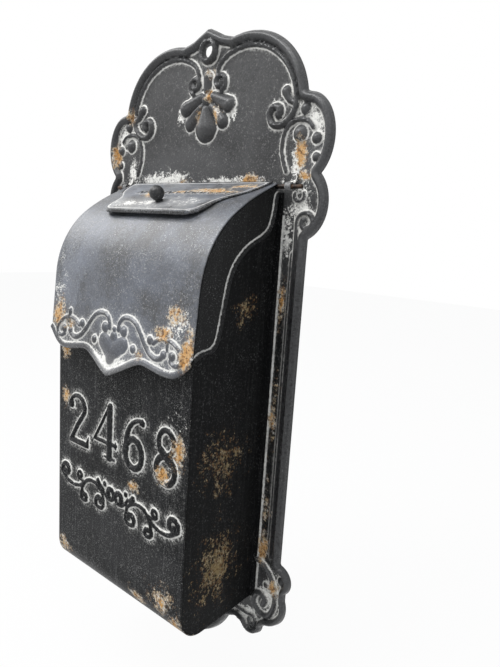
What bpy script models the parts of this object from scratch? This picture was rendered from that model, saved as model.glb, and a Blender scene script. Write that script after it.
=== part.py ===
"""Wall-hung letter box of pressed tin plate, with a hinged hood and a letter flap.

The wall is the plane Y = 0, the box stands out of it towards -Y, and X = 0 is the middle.
Z = 0 lies half way up the back plate. Sizes are written in millimetres and become metres
when a mesh is made. The moving pieces turn about one rod, which runs along X.
"""

import math

import bmesh
import bpy
import numpy as np
from mathutils import Matrix, Vector
from mathutils.geometry import delaunay_2d_cdt

MM = 0.001

# Sheet and fits
SHEET = 0.8
GAP = 0.3
SEAM_FLANGE = 5.0

# Letter box
BOX_WIDTH = 164.0
BOX_DEPTH = 88.0
BOX_FLOOR_Z = -207.5
BOX_FRONT_TOP_Z = 50.0
FLOOR_BEND_RADIUS = 25.0
FLOOR_TAB_HEIGHT = 8.0
FLOOR_TAB_SETBACK = 7.0
WALL_FLANGE = 5.0
SIDE_TOP_SETBACK = 9.0
ORNAMENT_RISE = 90.5

# Hinge rod and its straps
HINGE_OUT = 8.0
HINGE_Z = 147.0
ROD_RADIUS = 1.75
ROD_OVERHANG = 26.0
STRAP_OFFSET = 14.2
STRAP_WIDTH = 5.3
STRAP_THICKNESS = 1.2
STRAP_LEAF = 10.5

# Hood
HOOD_SIDE_CLEARANCE = 3.2
HOOD_FRONT_CLEARANCE = 1.6
HOOD_SLOPE = 25.0
SHOULDER_RADIUS = 170.0
SHOULDER_SLOPE = 37.0
BROW_RADIUS = 77.0
FRONT_SLOPE = 85.5
HOOD_CORNER_Z = 17.0
HOOD_TIP_DROP = 23.5
HOOD_TIP_FLARE = 5.0
HOOD_BEAD_RADIUS = 2.4
HOOD_BEAD_HEIGHT = 1.6
HOOD_KNUCKLE = 14.0
EYE_INSET = 2.0
EYE_TAIL = 5.0
HOOD_REAR_CUT = 12.0
CHEEK_BEAD_RADIUS = 2.2
CHEEK_BEAD_HEIGHT = 2.0
CHEEK_START = 5.0
CHEEK_FOOT_RISE = 0.5
CHEEK_NOTCH_RADIUS = 3.2

# Letter slot and its flap
SLOT_REAR_HALF = 58.0
SLOT_FRONT_HALF = 42.0
SLOT_START = 20.0
SLOT_END = 57.0
FLAP_SIDE_INSET = 4.5
FLAP_FRONT_HALF = 50.0
FLAP_REACH = 65.0
FLAP_LIP = 3.0
FLAP_LIP_WIDTH = 2.4
FLAP_LIP_START = 6.0
FLAP_LIP_CLEARANCE = 0.5
KNOB_REACH = 46.0
KNOB_RADIUS = 6.1
KNOB_FOOT_RADIUS = 3.4
KNOB_FOOT_HEIGHT = 0.6
KNOB_NECK_RADIUS = 2.6
KNOB_NECK_HEIGHT = 1.0
SCREW_RADIUS = 1.2
SCREW_HEAD_RADIUS = 2.8
SCREW_HEAD_HEIGHT = 1.6
SCREW_REACH = 5.0
WASHER_RADIUS = 3.4
WASHER_THICKNESS = 0.6

# Back plate
PLATE_MARGIN = 30.0
PLATE_TOP_Z = 276.0
TOP_LOBE_RADIUS = 61.3
EAR_RADII = (24.8, 33.0)
HIP_RADII = (24.5, 29.0)
LEAF_LOBE_RADIUS = 14.0
CORNER_LOBE_RADIUS = 23.0
CURL_LOBE_RADIUS = 12.0
APRON_RADIUS = 66.0
RIM_RADIUS = 4.2
RIM_HEIGHT = 5.5
INNER_RIDGE_RADIUS = 2.2
INNER_RIDGE_HEIGHT = 3.2
INNER_RIDGE_OFFSET = 10.6
SIDE_RIDGE_RADIUS = 1.6
SIDE_RIDGE_HEIGHT = 2.6
HANGING_HOLE_RADIUS = 4.6
HANGING_HOLE_DROP = 18.0

# Fineness of the pressed relief
OUTLINE_STEP = 6.5
RELIEF_STEP = 3.4
SITE_GAP = 1.2
TURNED_STEPS = 16

# Places that follow from the sizes above
BOX_HALF = BOX_WIDTH / 2
HOOD_HALF = BOX_HALF + HOOD_SIDE_CLEARANCE + SHEET
PLATE_HALF = BOX_HALF + PLATE_MARGIN
HINGE = (-HINGE_OUT, HINGE_Z)
EYE_INNER = ROD_RADIUS + GAP
EYE_SHEET = SHEET - 0.06
HOOD_LIFT = EYE_INNER + SHEET
FLAP_LIFT = HOOD_LIFT + GAP + SHEET
PLATE_FRONT = -SHEET
HOLE_Z = PLATE_TOP_Z - HANGING_HOLE_DROP
PLATE_WAIST_TOP = HINGE_Z - 47
PLATE_WAIST_FOOT = BOX_FLOOR_Z + 46

PAINTED_TIN = ("painted_tin", (0.055, 0.058, 0.062), 0.55, 0.35)
WORN_TIN = ("worn_tin", (0.16, 0.165, 0.17), 0.6, 0.35)
BARE_STEEL = ("bare_steel", (0.09, 0.08, 0.07), 0.5, 0.8)


def start_empty():
    """Remove the objects that the file opens with."""
    for thing in list(bpy.data.objects):
        bpy.data.objects.remove(thing, do_unlink=True)


def principled(finish):
    """Return the Principled material of a finish, made once."""
    name, color, roughness, metallic = finish
    material = bpy.data.materials.get(name) or bpy.data.materials.new(name)
    material.use_nodes = True
    shader = material.node_tree.nodes["Principled BSDF"]
    shader.inputs["Base Color"].default_value = (*color, 1.0)
    shader.inputs["Roughness"].default_value = roughness
    shader.inputs["Metallic"].default_value = metallic
    return material


def finish_object(name, bm, finish, smooth=None):
    """Turn a bmesh in millimetres into a named object in metres."""
    bmesh.ops.recalc_face_normals(bm, faces=bm.faces)
    bmesh.ops.scale(bm, vec=(MM, MM, MM), verts=bm.verts)
    mesh = bpy.data.meshes.new(name)
    bm.to_mesh(mesh)
    bm.free()
    if smooth is not None:
        mesh.shade_smooth()
        mesh.set_sharp_from_angle(angle=math.radians(smooth))
    mesh.materials.append(principled(finish))
    thing = bpy.data.objects.new(name, mesh)
    bpy.context.scene.collection.objects.link(thing)
    return thing


def weld_on(carrier, part):
    """Join a part to its carrier, so that both are one piece of metal."""
    part.hide_render = True
    part.display_type = "WIRE"
    weld = carrier.modifiers.new("weld_" + part.name, "BOOLEAN")
    weld.operation = "UNION"
    weld.object = part


def add_pivot(name):
    """An empty on the rod's axis, which the pieces of one lid hang on."""
    pivot = bpy.data.objects.new(name, None)
    pivot.location = (0, HINGE[0] * MM, HINGE[1] * MM)
    bpy.context.scene.collection.objects.link(pivot)
    return pivot


def hang_on(pivot, pieces):
    """Give pieces, with their welded parts, their origin on the rod's axis, on its pivot."""
    welded = [change.object for thing in pieces for change in thing.modifiers
              if change.type == "BOOLEAN"]
    for thing in pieces + welded:
        thing.data.transform(Matrix.Translation(-pivot.location))
        thing.parent = pivot


# Plane geometry


def arc(centre, radii, start, end, step=OUTLINE_STEP):
    """Points along an arc of an ellipse, angles in degrees."""
    rx, rz = radii if isinstance(radii, tuple) else (radii, radii)
    length = math.radians(abs(end - start)) * (rx + rz) / 2
    count = max(2, math.ceil(length / step))
    angles = np.radians(np.linspace(start, end, count + 1))
    return [(centre[0] + rx * math.cos(a), centre[1] + rz * math.sin(a)) for a in angles]


def spiral(centre, outer, inner, start, turn):
    """Points along a spiral that winds from its outer to its inner radius."""
    count = max(6, math.ceil(math.radians(abs(turn)) * (outer + inner) / 2 / 1.6))
    points = []
    for index in range(count + 1):
        share = index / count
        radius = outer + (inner - outer) * share
        angle = math.radians(start + turn * share)
        points.append((centre[0] + radius * math.cos(angle), centre[1] + radius * math.sin(angle)))
    return points


def smooth_curve(points, step):
    """A Catmull-Rom curve through the points, read at about the given step."""
    ends = [tuple(2 * a - b for a, b in zip(points[0], points[1]))]
    tail = [tuple(2 * a - b for a, b in zip(points[-1], points[-2]))]
    knots = np.array(ends + list(points) + tail, dtype=float)
    curve = [tuple(knots[1])]
    for p0, p1, p2, p3 in zip(knots, knots[1:], knots[2:], knots[3:]):
        count = max(1, math.ceil(np.linalg.norm(p2 - p1) / step))
        for index in range(1, count + 1):
            t = index / count
            curve.append(tuple(0.5 * (2 * p1 + (p2 - p0) * t + (2 * p0 - 5 * p1 + 4 * p2 - p3) * t ** 2
                                      + (3 * p1 - p0 - 3 * p2 + p3) * t ** 3)))
    return curve


def flipped(points):
    """The same points on the other side of X = 0, in the reverse order."""
    return [(-x, z) for x, z in reversed(points)]


def closed_outline(right_half):
    """A loop from its right half, given from the top middle to the bottom middle."""
    left = [point for point in flipped(right_half) if abs(point[0]) > 1e-6]
    return list(right_half) + left


def resampled(points, step):
    """Points at an even step along a line."""
    line = np.array(points, dtype=float)
    if len(line) == 1:
        return line
    lengths = np.concatenate([[0], np.cumsum(np.linalg.norm(np.diff(line, axis=0), axis=1))])
    count = max(1, round(lengths[-1] / step))
    marks = np.linspace(0, lengths[-1], count + 1)
    return np.stack([np.interp(marks, lengths, line[:, 0]), np.interp(marks, lengths, line[:, 1])], 1)


def distance_to_line(sites, line, closed=False):
    """Distance from each site to a line, with the share along the line's points."""
    line = np.array(line, dtype=float)
    if len(line) == 1:
        return np.linalg.norm(sites - line[0], axis=1), np.zeros(len(sites))
    start = line if closed else line[:-1]
    end = np.roll(line, -1, axis=0) if closed else line[1:]
    along = end - start
    size = np.maximum((along ** 2).sum(axis=1), 1e-12)
    share = ((sites[:, None] - start) * along).sum(axis=2) / size
    share = np.clip(share, 0, 1)
    near = start + share[..., None] * along
    distance = np.linalg.norm(sites[:, None] - near, axis=2)
    best = distance.argmin(axis=1)
    rows = np.arange(len(sites))
    return distance[rows, best], best + share[rows, best]


def inside(sites, loop):
    """Which sites lie inside a closed loop."""
    loop = np.array(loop)
    following = np.roll(loop, -1, axis=0)
    x, z = sites[:, None, 0], sites[:, None, 1]
    crosses = (loop[:, 1] > z) != (following[:, 1] > z)
    rise = np.where(following[:, 1] == loop[:, 1], 1e-12, following[:, 1] - loop[:, 1])
    at = loop[:, 0] + (z - loop[:, 1]) / rise * (following[:, 0] - loop[:, 0])
    return (crosses & (x < at)).sum(axis=1) % 2 == 1


def inner_rows(loop, offset):
    """The runs of a line that follows the loop at an offset inside it."""
    points = np.array(loop)
    before = points - np.roll(points, 1, axis=0)
    after = np.roll(points, -1, axis=0) - points
    tangent = before / np.linalg.norm(before, axis=1)[:, None]
    tangent = tangent + after / np.linalg.norm(after, axis=1)[:, None]
    tangent = tangent / np.maximum(np.linalg.norm(tangent, axis=1), 1e-9)[:, None]
    shifted = points + np.stack([tangent[:, 1], -tangent[:, 0]], axis=1) * offset
    kept = (distance_to_line(shifted, loop, closed=True)[0] > 0.9 * offset) & inside(shifted, loop)
    rows = []
    for index, keep in enumerate(kept):
        if not keep:
            continue
        if rows and kept[index - 1] and index:
            rows[-1].append(tuple(shifted[index]))
        else:
            rows.append([tuple(shifted[index])])
    if len(rows) > 1 and kept[0] and kept[-1]:
        rows[0] = rows.pop() + rows[0]
    return rows


# Pressed relief


def stroke(points, radius, height, end_radius=None, end_height=None):
    """A raised line: its points, with half width and height from end to end."""
    points = [tuple(point) for point in points]
    end_radius = radius if end_radius is None else end_radius
    end_height = height if end_height is None else end_height
    return points, (radius, end_radius), (height, end_height)


def boss(centre, radius, height):
    """A raised round dome."""
    return stroke([centre], radius, height)


def both_sides(strokes):
    """The strokes with their mirror images."""
    return strokes + [([(-x, z) for x, z in points], radii, heights)
                      for points, radii, heights in strokes]


def relief(sites, strokes):
    """The height of the pressed relief at each site."""
    height = np.zeros(len(sites))
    for points, radii, heights in strokes:
        distance, place = distance_to_line(sites, points)
        share = place / max(len(points) - 1, 1)
        radius = radii[0] + (radii[1] - radii[0]) * share
        peak = heights[0] + (heights[1] - heights[0]) * share
        height = np.maximum(height, peak * (1 - np.minimum(distance / radius, 1) ** 2))
    return height


def stroke_sites(strokes):
    """The sites at which a mesh has to follow the strokes: crests first, then feet."""
    crests, feet = [], []
    for points, radii, _ in strokes:
        widest = max(radii)
        step = min(max(RELIEF_STEP, 0.8 * widest), 2 * RELIEF_STEP)
        line = resampled(points, step)
        crests.extend(line)
        if len(line) > 1:
            tangent = np.gradient(line, axis=0)
            tangent /= np.maximum(np.linalg.norm(tangent, axis=1), 1e-9)[:, None]
            normal = np.stack([-tangent[:, 1], tangent[:, 0]], axis=1)
            radius = np.linspace(radii[0], radii[1], len(line))[:, None]
            feet.extend(line + normal * radius)
            feet.extend(line - normal * radius)
            if widest > RELIEF_STEP:
                feet.extend(line + normal * radius * 0.55)
                feet.extend(line - normal * radius * 0.55)
        if widest > INNER_RIDGE_RADIUS:
            radius = radii[1]
            rings = (1.0, 0.55) if radius > RELIEF_STEP else (1.0,)
            for ring in rings:
                count = max(6, round(2 * math.pi * radius * ring / RELIEF_STEP))
                for index in range(count):
                    angle = 2 * math.pi * index / count
                    offset = np.array([math.cos(angle), math.sin(angle)]) * radius * ring
                    feet.append(line[-1] + offset)
    return crests + feet


def triangulated(outline, holes, rows, loose):
    """Triangles over an outline, with holes, through fixed rows and loose sites."""
    sites, edges = [], []
    for loop in [outline, *holes]:
        first = len(sites)
        sites.extend(loop)
        edges.extend((first + i, first + (i + 1) % len(loop)) for i in range(len(loop)))
    for row in rows:
        first = len(sites)
        sites.extend(row)
        edges.extend((first + i, first + i + 1) for i in range(len(row) - 1))
    kept = [np.array(site, dtype=float) for site in sites]
    if loose:
        loose = np.array(loose, dtype=float)
        free = inside(loose, outline)
        free &= distance_to_line(loose, outline, closed=True)[0] > SITE_GAP
        for hole in holes:
            free &= ~inside(loose, hole)
            free &= distance_to_line(loose, hole, closed=True)[0] > SITE_GAP
        for row in rows:
            free &= distance_to_line(loose, row)[0] > SITE_GAP
        for site in loose[free]:
            if np.linalg.norm(np.array(kept) - site, axis=1).min() > SITE_GAP:
                kept.append(site)
    flat = [Vector((float(x), float(z))) for x, z in kept]
    result = delaunay_2d_cdt(flat, edges, [], 0, 1e-5)
    places = np.array([tuple(point) for point in result[0]])
    faces = np.array([face for face in result[2] if len(face) == 3])
    centres = places[faces].mean(axis=1)
    wanted = inside(centres, outline)
    for hole in holes:
        wanted &= ~inside(centres, hole)
    return places, faces[wanted]


def pressed_face(outline, strokes, holes=(), rows=(), extra=None, meshed=None):
    """A bmesh of a sheet's outer face, flat but for its relief, which is its height.

    The mesh follows the strokes in meshed, or all of them. The extra relief is a function
    of the places, such as a rolled rim or a lip that falls away.
    """
    places, faces = triangulated(outline, holes, rows, stroke_sites(strokes if meshed is None else meshed))
    heights = relief(places, strokes)
    if extra is not None:
        heights = heights + extra(places)
    bm = bmesh.new()
    corners = [bm.verts.new((x, z, h)) for (x, z), h in zip(places, heights)]
    for face in faces:
        bm.faces.new([corners[i] for i in face])
    bmesh.ops.delete(bm, geom=[v for v in bm.verts if not v.link_faces], context="VERTS")
    return bm


def pressed_sheet(lay, *layout, **options):
    """A bmesh of pressed sheet metal.

    The sheet is laid out flat as pressed_face makes it, given its thickness and then placed
    by lay, which takes flat coordinates and a height to a point in space.
    """
    bm = pressed_face(*layout, **options)
    grown = bmesh.ops.extrude_face_region(bm, geom=bm.faces[:], use_keep_orig=True)
    moved = [item for item in grown["geom"] if isinstance(item, bmesh.types.BMVert)]
    bmesh.ops.translate(bm, vec=(0, 0, -SHEET), verts=moved)
    for corner in bm.verts:
        corner.co = lay(*corner.co)
    return bm


class Fold:
    """The side view of a bent sheet: a path of (y, z) points on its outer face.

    The outer face looks to the left of the way that the path runs, seen with Y to the
    right and Z up, so that a path down the front of the box has its face towards -Y.
    """

    def __init__(self, points, flip=1.0):
        self.points = np.array(points, dtype=float)
        steps = np.diff(self.points, axis=0)
        self.marks = np.concatenate([[0], np.cumsum(np.linalg.norm(steps, axis=1))])
        tangent = steps / np.linalg.norm(steps, axis=1)[:, None]
        normal = np.stack([tangent[:, 1], -tangent[:, 0]], axis=1) * flip
        joined = np.vstack([normal[:1], normal[:-1] + normal[1:], normal[-1:]])
        joined /= np.linalg.norm(joined, axis=1)[:, None]
        against = np.vstack([normal, normal[-1:]])
        self.normals = joined / (joined * against).sum(axis=1)[:, None]

    def at(self, mark, height=0.0):
        """The (y, z) place at a mark along the path, raised by a height."""
        place = [np.interp(mark, self.marks, self.points[:, i]) for i in (0, 1)]
        normal = [np.interp(mark, self.marks, self.normals[:, i]) for i in (0, 1)]
        return place[0] + normal[0] * height, place[1] + normal[1] * height

    def mark_at_z(self, z):
        """The mark at which a falling path reaches a level."""
        return float(np.interp(-z, -self.points[:, 1], self.marks))

    def lay(self, x, mark, height):
        """Take flat sheet coordinates to a point in space."""
        y, z = self.at(mark, height)
        return Vector((x, y, z))

    def bend_rows(self, half_width):
        """Lines across the sheet at each bend of the path."""
        return [[(-half_width, mark), (half_width, mark)] for mark in self.marks[1:-1]]


def ribbon(path, thickness, x_from, x_to):
    """A bmesh of a bent strip: a path of (y, z) points with a thickness, along X."""
    middle = Fold(path)
    outer = [middle.at(mark, thickness / 2) for mark in middle.marks]
    inner = [middle.at(mark, -thickness / 2) for mark in middle.marks]
    bm = bmesh.new()
    near = [[bm.verts.new((x_from, *point)) for point in side] for side in (outer, inner)]
    far = [[bm.verts.new((x_to, *point)) for point in side] for side in (outer, inner)]
    last = len(path) - 1
    for i in range(last):
        for side in (0, 1):
            bm.faces.new((near[side][i], near[side][i + 1], far[side][i + 1], far[side][i]))
        for end in (near, far):
            bm.faces.new((end[0][i], end[0][i + 1], end[1][i + 1], end[1][i]))
    for i in (0, last):
        bm.faces.new((near[0][i], near[1][i], far[1][i], far[0][i]))
    return bm


def turned(profile):
    """A bmesh turned about Z from a profile of (radius, height) points on a closed line."""
    bm = bmesh.new()
    corners = [bm.verts.new((radius, 0, height)) for radius, height in profile]
    edges = [bm.edges.new(pair) for pair in zip(corners, corners[1:])]
    if min(radius for radius, _ in profile) > 1e-6:
        edges.append(bm.edges.new((corners[-1], corners[0])))
    bmesh.ops.spin(bm, geom=corners + edges, cent=(0, 0, 0), axis=(0, 0, 1),
                   angle=2 * math.pi, steps=TURNED_STEPS, use_merge=True)
    bmesh.ops.remove_doubles(bm, verts=bm.verts, dist=1e-4)
    return bm


def folded_sheet(name, surface, finish, inwards=True):
    """An object of folded sheet from the open surface of its outer face."""
    thing = finish_object(name, surface, finish)
    wall = thing.modifiers.new("sheet", "SOLIDIFY")
    wall.thickness = SHEET * MM
    wall.offset = -1.0 if inwards else 1.0
    wall.use_even_offset = True
    wall.use_quality_normals = True
    return thing


# Back plate


def plate_outline():
    """The plate's edge: a crest, two lobes, ears, hips, scrolled corners and an apron."""
    side, top, foot = PLATE_HALF, PLATE_TOP_Z, BOX_FLOOR_Z
    crest = [(0, top), (7, top - 3.2), (16, top - 7.6)]
    half = crest
    half += arc((side - 70, top - 70), TOP_LOBE_RADIUS, 104, 10.4)
    half += arc((side - 8.5, HINGE_Z + 36), EAR_RADII, 86, -50)
    half += arc((side - 9, HINGE_Z - 11.5), HIP_RADII, 49, -68)
    half += [(side, PLATE_WAIST_TOP), (side, PLATE_WAIST_FOOT - 1)]
    half += arc((side - 2, foot + 30), LEAF_LOBE_RADIUS, 78, -48)
    half += arc((side - 14, foot + 4.5), CORNER_LOBE_RADIUS, 22, -78)
    half += arc((side - 25.5, foot - 21.5), CURL_LOBE_RADIUS, -4, -150, step=4.0)
    half += [(side - 42, foot - 25.5)]
    half += arc((0, foot - 3.5), APRON_RADIUS, -24, -90)
    return closed_outline(half)


def ear_strokes():
    """The scrolls, bosses and arcs pressed into the right ear and hip."""
    side, hinge = PLATE_HALF, HINGE_Z
    volute = [(side - 19.3, hinge + 59), (side - 20, hinge + 53)]
    volute += spiral((side - 35, hinge + 54.5), 13.0, 3.0, -25, -400)
    curl = [(side - 18.6, hinge + 65.5)] + spiral((side - 24.5, hinge + 75), 6.2, 1.8, -40, 320)
    divider = smooth_curve([(side - 16.5, hinge + 14.0), (side - 20, hinge + 20), (side - 23.5, hinge + 30),
                            (side - 22.5, hinge + 41), (side - 17, hinge + 48), (side - 9, hinge + 50),
                            (side - 2.5, hinge + 46.5)], 3.0)
    hip = [(side - 10.5, hinge - 45)] + spiral((side - 2.5, hinge - 26), 8.5, 2.5, 190, -430)
    cusp = arc((side - 16.5, hinge - 7), 5.0, 165, 390, step=2.5)
    return [
        stroke(volute, 2.4, 4.2, 3.0, 4.5),
        stroke(curl, 2.0, 3.2, 2.8, 4.0),
        stroke(divider, 1.8, 2.6, 2.2, 3.2),
        stroke(hip, 1.9, 2.6, 2.8, 3.6),
        stroke(cusp, 1.5, 2.0),
        boss((side - 9, hinge + 39), 6.4, 4.6),
        boss((side - 5.7, hinge + 55), 4.8, 4.0),
        boss((side + 4.6, hinge + 34.4), 4.4, 3.8),
        boss((side + 5.4, hinge + 22), 3.2, 2.8),
    ]


def corner_strokes():
    """The scrolls pressed into the right bottom corner."""
    side, foot = PLATE_HALF, BOX_FLOOR_Z
    scroll = smooth_curve([(side - 11, foot + 46), (side - 9, foot + 28), (side - 8.5, foot + 12)], 4.0)
    scroll = scroll[:-1] + spiral((side - 15, foot + 2.5), 8.6, 2.6, 25, -480)
    curl = [(side - 46, foot - 18)] + spiral((side - 29, foot - 20.5), 7.4, 2.2, 130, -440)
    return [
        stroke(scroll, 2.0, 3.2, 2.8, 4.2),
        stroke(curl, 1.9, 3.0, 2.6, 3.6),
        boss((side - 2, foot + 30), 5.2, 3.6),
        boss((side - 16, foot + 21), 3.2, 2.8),
    ]


def palmette_strokes():
    """The palmette under the hanging hole: stem, leaves and two volutes."""
    hole = HOLE_Z
    sides = both_sides([
        stroke([(7, hole - 36), (16, hole - 40), (25, hole - 44)], 4.2, 4.0, 7.0, 5.4),
        stroke([(6, hole - 44), (13, hole - 50), (19, hole - 57)], 3.6, 4.0, 6.4, 5.2),
        stroke(spiral((14, hole - 25.6), 7.2, 2.2, -75, 420), 2.2, 3.4, 2.8, 4.4),
    ])
    middle = [
        stroke([(0, hole - 46), (0, hole - 61)], 4.6, 5.0, 12.6, 7.0),
        stroke([(0, hole - 20), (0, hole - 31)], 5.0, 5.0, 4.2, 4.4),
        boss((0, hole - 39), 5.4, 5.6),
    ]
    ring = arc((0, hole), 7.7, 0, 360, step=3.5)
    return middle + sides + [stroke(ring, 3.1, 5.6)]


def plate_ridges():
    """The second ridge inside the rim, right side: round the lobe and down the edge."""
    side = PLATE_HALF
    x = side - INNER_RIDGE_OFFSET
    lobe = arc((side - 70, PLATE_TOP_Z - 70), TOP_LOBE_RADIUS - INNER_RIDGE_OFFSET, 114, 2)
    neck = smooth_curve([(10.2, HOLE_Z - 21), (11.8, HOLE_Z - 15), (15.2, HOLE_Z - 9.8), lobe[0]], 3.0)
    return (stroke(neck[:-1] + lobe, INNER_RIDGE_RADIUS, INNER_RIDGE_HEIGHT),
            stroke([(x, PLATE_WAIST_TOP), (x, PLATE_WAIST_FOOT)], SIDE_RIDGE_RADIUS, SIDE_RIDGE_HEIGHT))


def plate_seats():
    """Lines that keep the plate flat where the box, its flanges and the straps lie on it."""
    x, foot = BOX_HALF + WALL_FLANGE + 1, BOX_FLOOR_Z - 1.5
    top = HINGE_Z - 8
    seats = [[(-x, top), (-x, foot), (x, foot), (x, top)]]
    low, high = HINGE_Z + 2.5, HINGE_Z + STRAP_LEAF + 0.7
    for sign in (-1, 1):
        near, far = (sign * (BOX_HALF + STRAP_OFFSET + way * (STRAP_WIDTH / 2 + 0.5)) for way in (-1, 1))
        seats.append([(near, low), (far, low), (far, high), (near, high), (near, low)])
    return seats


def build_back_plate():
    """One stamped sheet: a rolled rim, a second ridge, scrolls, palmette and hanging hole."""
    outline = plate_outline()
    lobe_ridge, side_ridge = plate_ridges()
    ornaments = both_sides([lobe_ridge] + ear_strokes() + corner_strokes()) + palmette_strokes()
    crest_rows = inner_rows(outline, RIM_RADIUS)
    foot_rows = inner_rows(outline, 2 * RIM_RADIUS)
    rim = [stroke(row, RIM_RADIUS, RIM_HEIGHT) for row in crest_rows]
    ridge_x = side_ridge[0][0][0]
    straight = [[(sign * x, PLATE_WAIST_TOP), (sign * x, PLATE_WAIST_FOOT)] for sign in (-1, 1)
                for x in (ridge_x, ridge_x - SIDE_RIDGE_RADIUS, ridge_x + SIDE_RIDGE_RADIUS)]
    hole = arc((0, HOLE_Z), HANGING_HOLE_RADIUS, 0, 360, step=2.4)[:-1]

    def lay(x, z, height):
        return Vector((x, PLATE_FRONT - height, z))

    plate = pressed_sheet(lay, outline, ornaments + both_sides([side_ridge]) + rim, holes=[hole],
                          rows=crest_rows + foot_rows + straight + plate_seats(), meshed=ornaments)
    finish_object("back_plate", plate, PAINTED_TIN, smooth=50)


# Letter box


def front_fold():
    """The front sheet's outer face: down the front, round the bend, back along the floor."""
    front, floor, rear = -BOX_DEPTH, BOX_FLOOR_Z, PLATE_FRONT - GAP
    bend = arc((front + FLOOR_BEND_RADIUS, floor + FLOOR_BEND_RADIUS), FLOOR_BEND_RADIUS, 180, 270)
    return Fold([(front, BOX_FRONT_TOP_Z)] + bend + [(rear, floor), (rear, floor + FLOOR_TAB_HEIGHT)])


def front_ornament():
    """The scrollwork low on the front, right half, as (x, z) strokes."""
    mid = BOX_FLOOR_Z + ORNAMENT_RISE
    arch = smooth_curve([(14.5, mid - 5), (16.5, mid + 2), (23, mid + 7), (31, mid + 8.5),
                         (39, mid + 6), (44, mid), (46.3, mid - 7)], 3.5)
    branch = smooth_curve([(42, mid + 3), (49, mid - 1.5), (57, mid - 3.5), (66, mid - 2.5),
                           (72, mid + 1.5)], 3.5)
    crook = smooth_curve([(17, mid + 8.5), (14, mid + 4)], 3.0)
    tendril = [(43, mid + 3.8), (48, mid + 4)]
    return [
        stroke(arch + spiral((41.8, mid - 9.5), 4.6, 1.8, 0, -300), 1.7, 2.0, 2.4, 2.4),
        stroke(spiral((20.8, mid - 6.8), 6.6, 2.6, 170, 360), 1.7, 2.0, 3.2, 2.6),
        stroke(branch + spiral((69.6, mid + 7), 6.4, 2.4, -35, 360), 1.7, 1.9, 3.0, 2.6),
        stroke(tendril + spiral((48.4, mid + 8.4), 4.2, 1.6, -75, 330), 1.4, 1.7, 2.0, 2.0),
        stroke(crook + spiral((6, mid + 5.8), 6.4, 2.4, -35, -360), 1.7, 1.9, 3.0, 2.6),
        stroke([(23, mid + 11.4), (18.5, mid + 8)], 2.9, 2.0, 1.6, 1.6),
        boss((13.8, mid + 11.8), 2.7, 1.9),
    ]


def build_front_panel():
    """The front and the floor, folded from one sheet, with its scrollwork."""
    fold = front_fold()
    tab, end = fold.marks[-2:]
    tab_half = BOX_HALF - FLOOR_TAB_SETBACK
    loop = [(BOX_HALF, 0), (BOX_HALF, tab), (tab_half, tab), (tab_half, end)]
    strokes = [([(x, BOX_FRONT_TOP_Z - z) for x, z in points], radii, heights)
               for points, radii, heights in both_sides(front_ornament())]
    panel = pressed_sheet(fold.lay, loop + flipped(loop), strokes, rows=fold.bend_rows(BOX_HALF)[:-1])
    finish_object("front_panel", panel, PAINTED_TIN, smooth=40)


def side_outline():
    """The side panel's edge as (y, z) points: front and floor run, then rear and top run."""
    fold = front_fold()
    depth = SHEET + GAP
    outer = [fold.at(mark, -depth) for mark in fold.marks[:-2]]
    rear = PLATE_FRONT - GAP - SHEET
    outer.append((rear, BOX_FLOOR_Z + depth))
    hood = hood_fold()
    top = []
    for mark in np.linspace(0, hood.mark_at_z(BOX_FRONT_TOP_Z), 24):
        y, z = hood.at(mark, -SIDE_TOP_SETBACK)
        if y > outer[0][0] + 1 and z > BOX_FRONT_TOP_Z and y < rear - 1:
            top.append((y, z))
    slope = math.tan(math.radians(HOOD_SLOPE))
    top.insert(0, (rear, top[0][1] + (rear - top[0][0]) * slope))
    return outer, top


def build_side_panel(name, sign):
    """A flat side with a flange behind the front sheet and one against the wall."""
    outer, top = side_outline()
    x = sign * BOX_HALF
    bm = bmesh.new()
    front_run = [bm.verts.new((x, *point)) for point in outer]
    top_run = [bm.verts.new((x, *point)) for point in top]
    bm.faces.new(front_run + top_run)
    bm.edges.ensure_lookup_table()
    seam = [bm.edges.get(pair) for pair in zip(front_run, front_run[1:])]
    wall = [bm.edges.get((front_run[-1], top_run[0]))]
    for edges, shift in ((seam, -sign * SEAM_FLANGE), (wall, sign * WALL_FLANGE)):
        grown = bmesh.ops.extrude_edge_only(bm, edges=edges)
        moved = [item for item in grown["geom"] if isinstance(item, bmesh.types.BMVert)]
        bmesh.ops.translate(bm, vec=(shift, 0, 0), verts=moved)
    bmesh.ops.recalc_face_normals(bm, faces=bm.faces)
    panel = max(bm.faces, key=lambda face: face.calc_area())
    inwards = panel.normal.x * sign > 0
    return folded_sheet(name, bm, PAINTED_TIN, inwards)


# Hood


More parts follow.
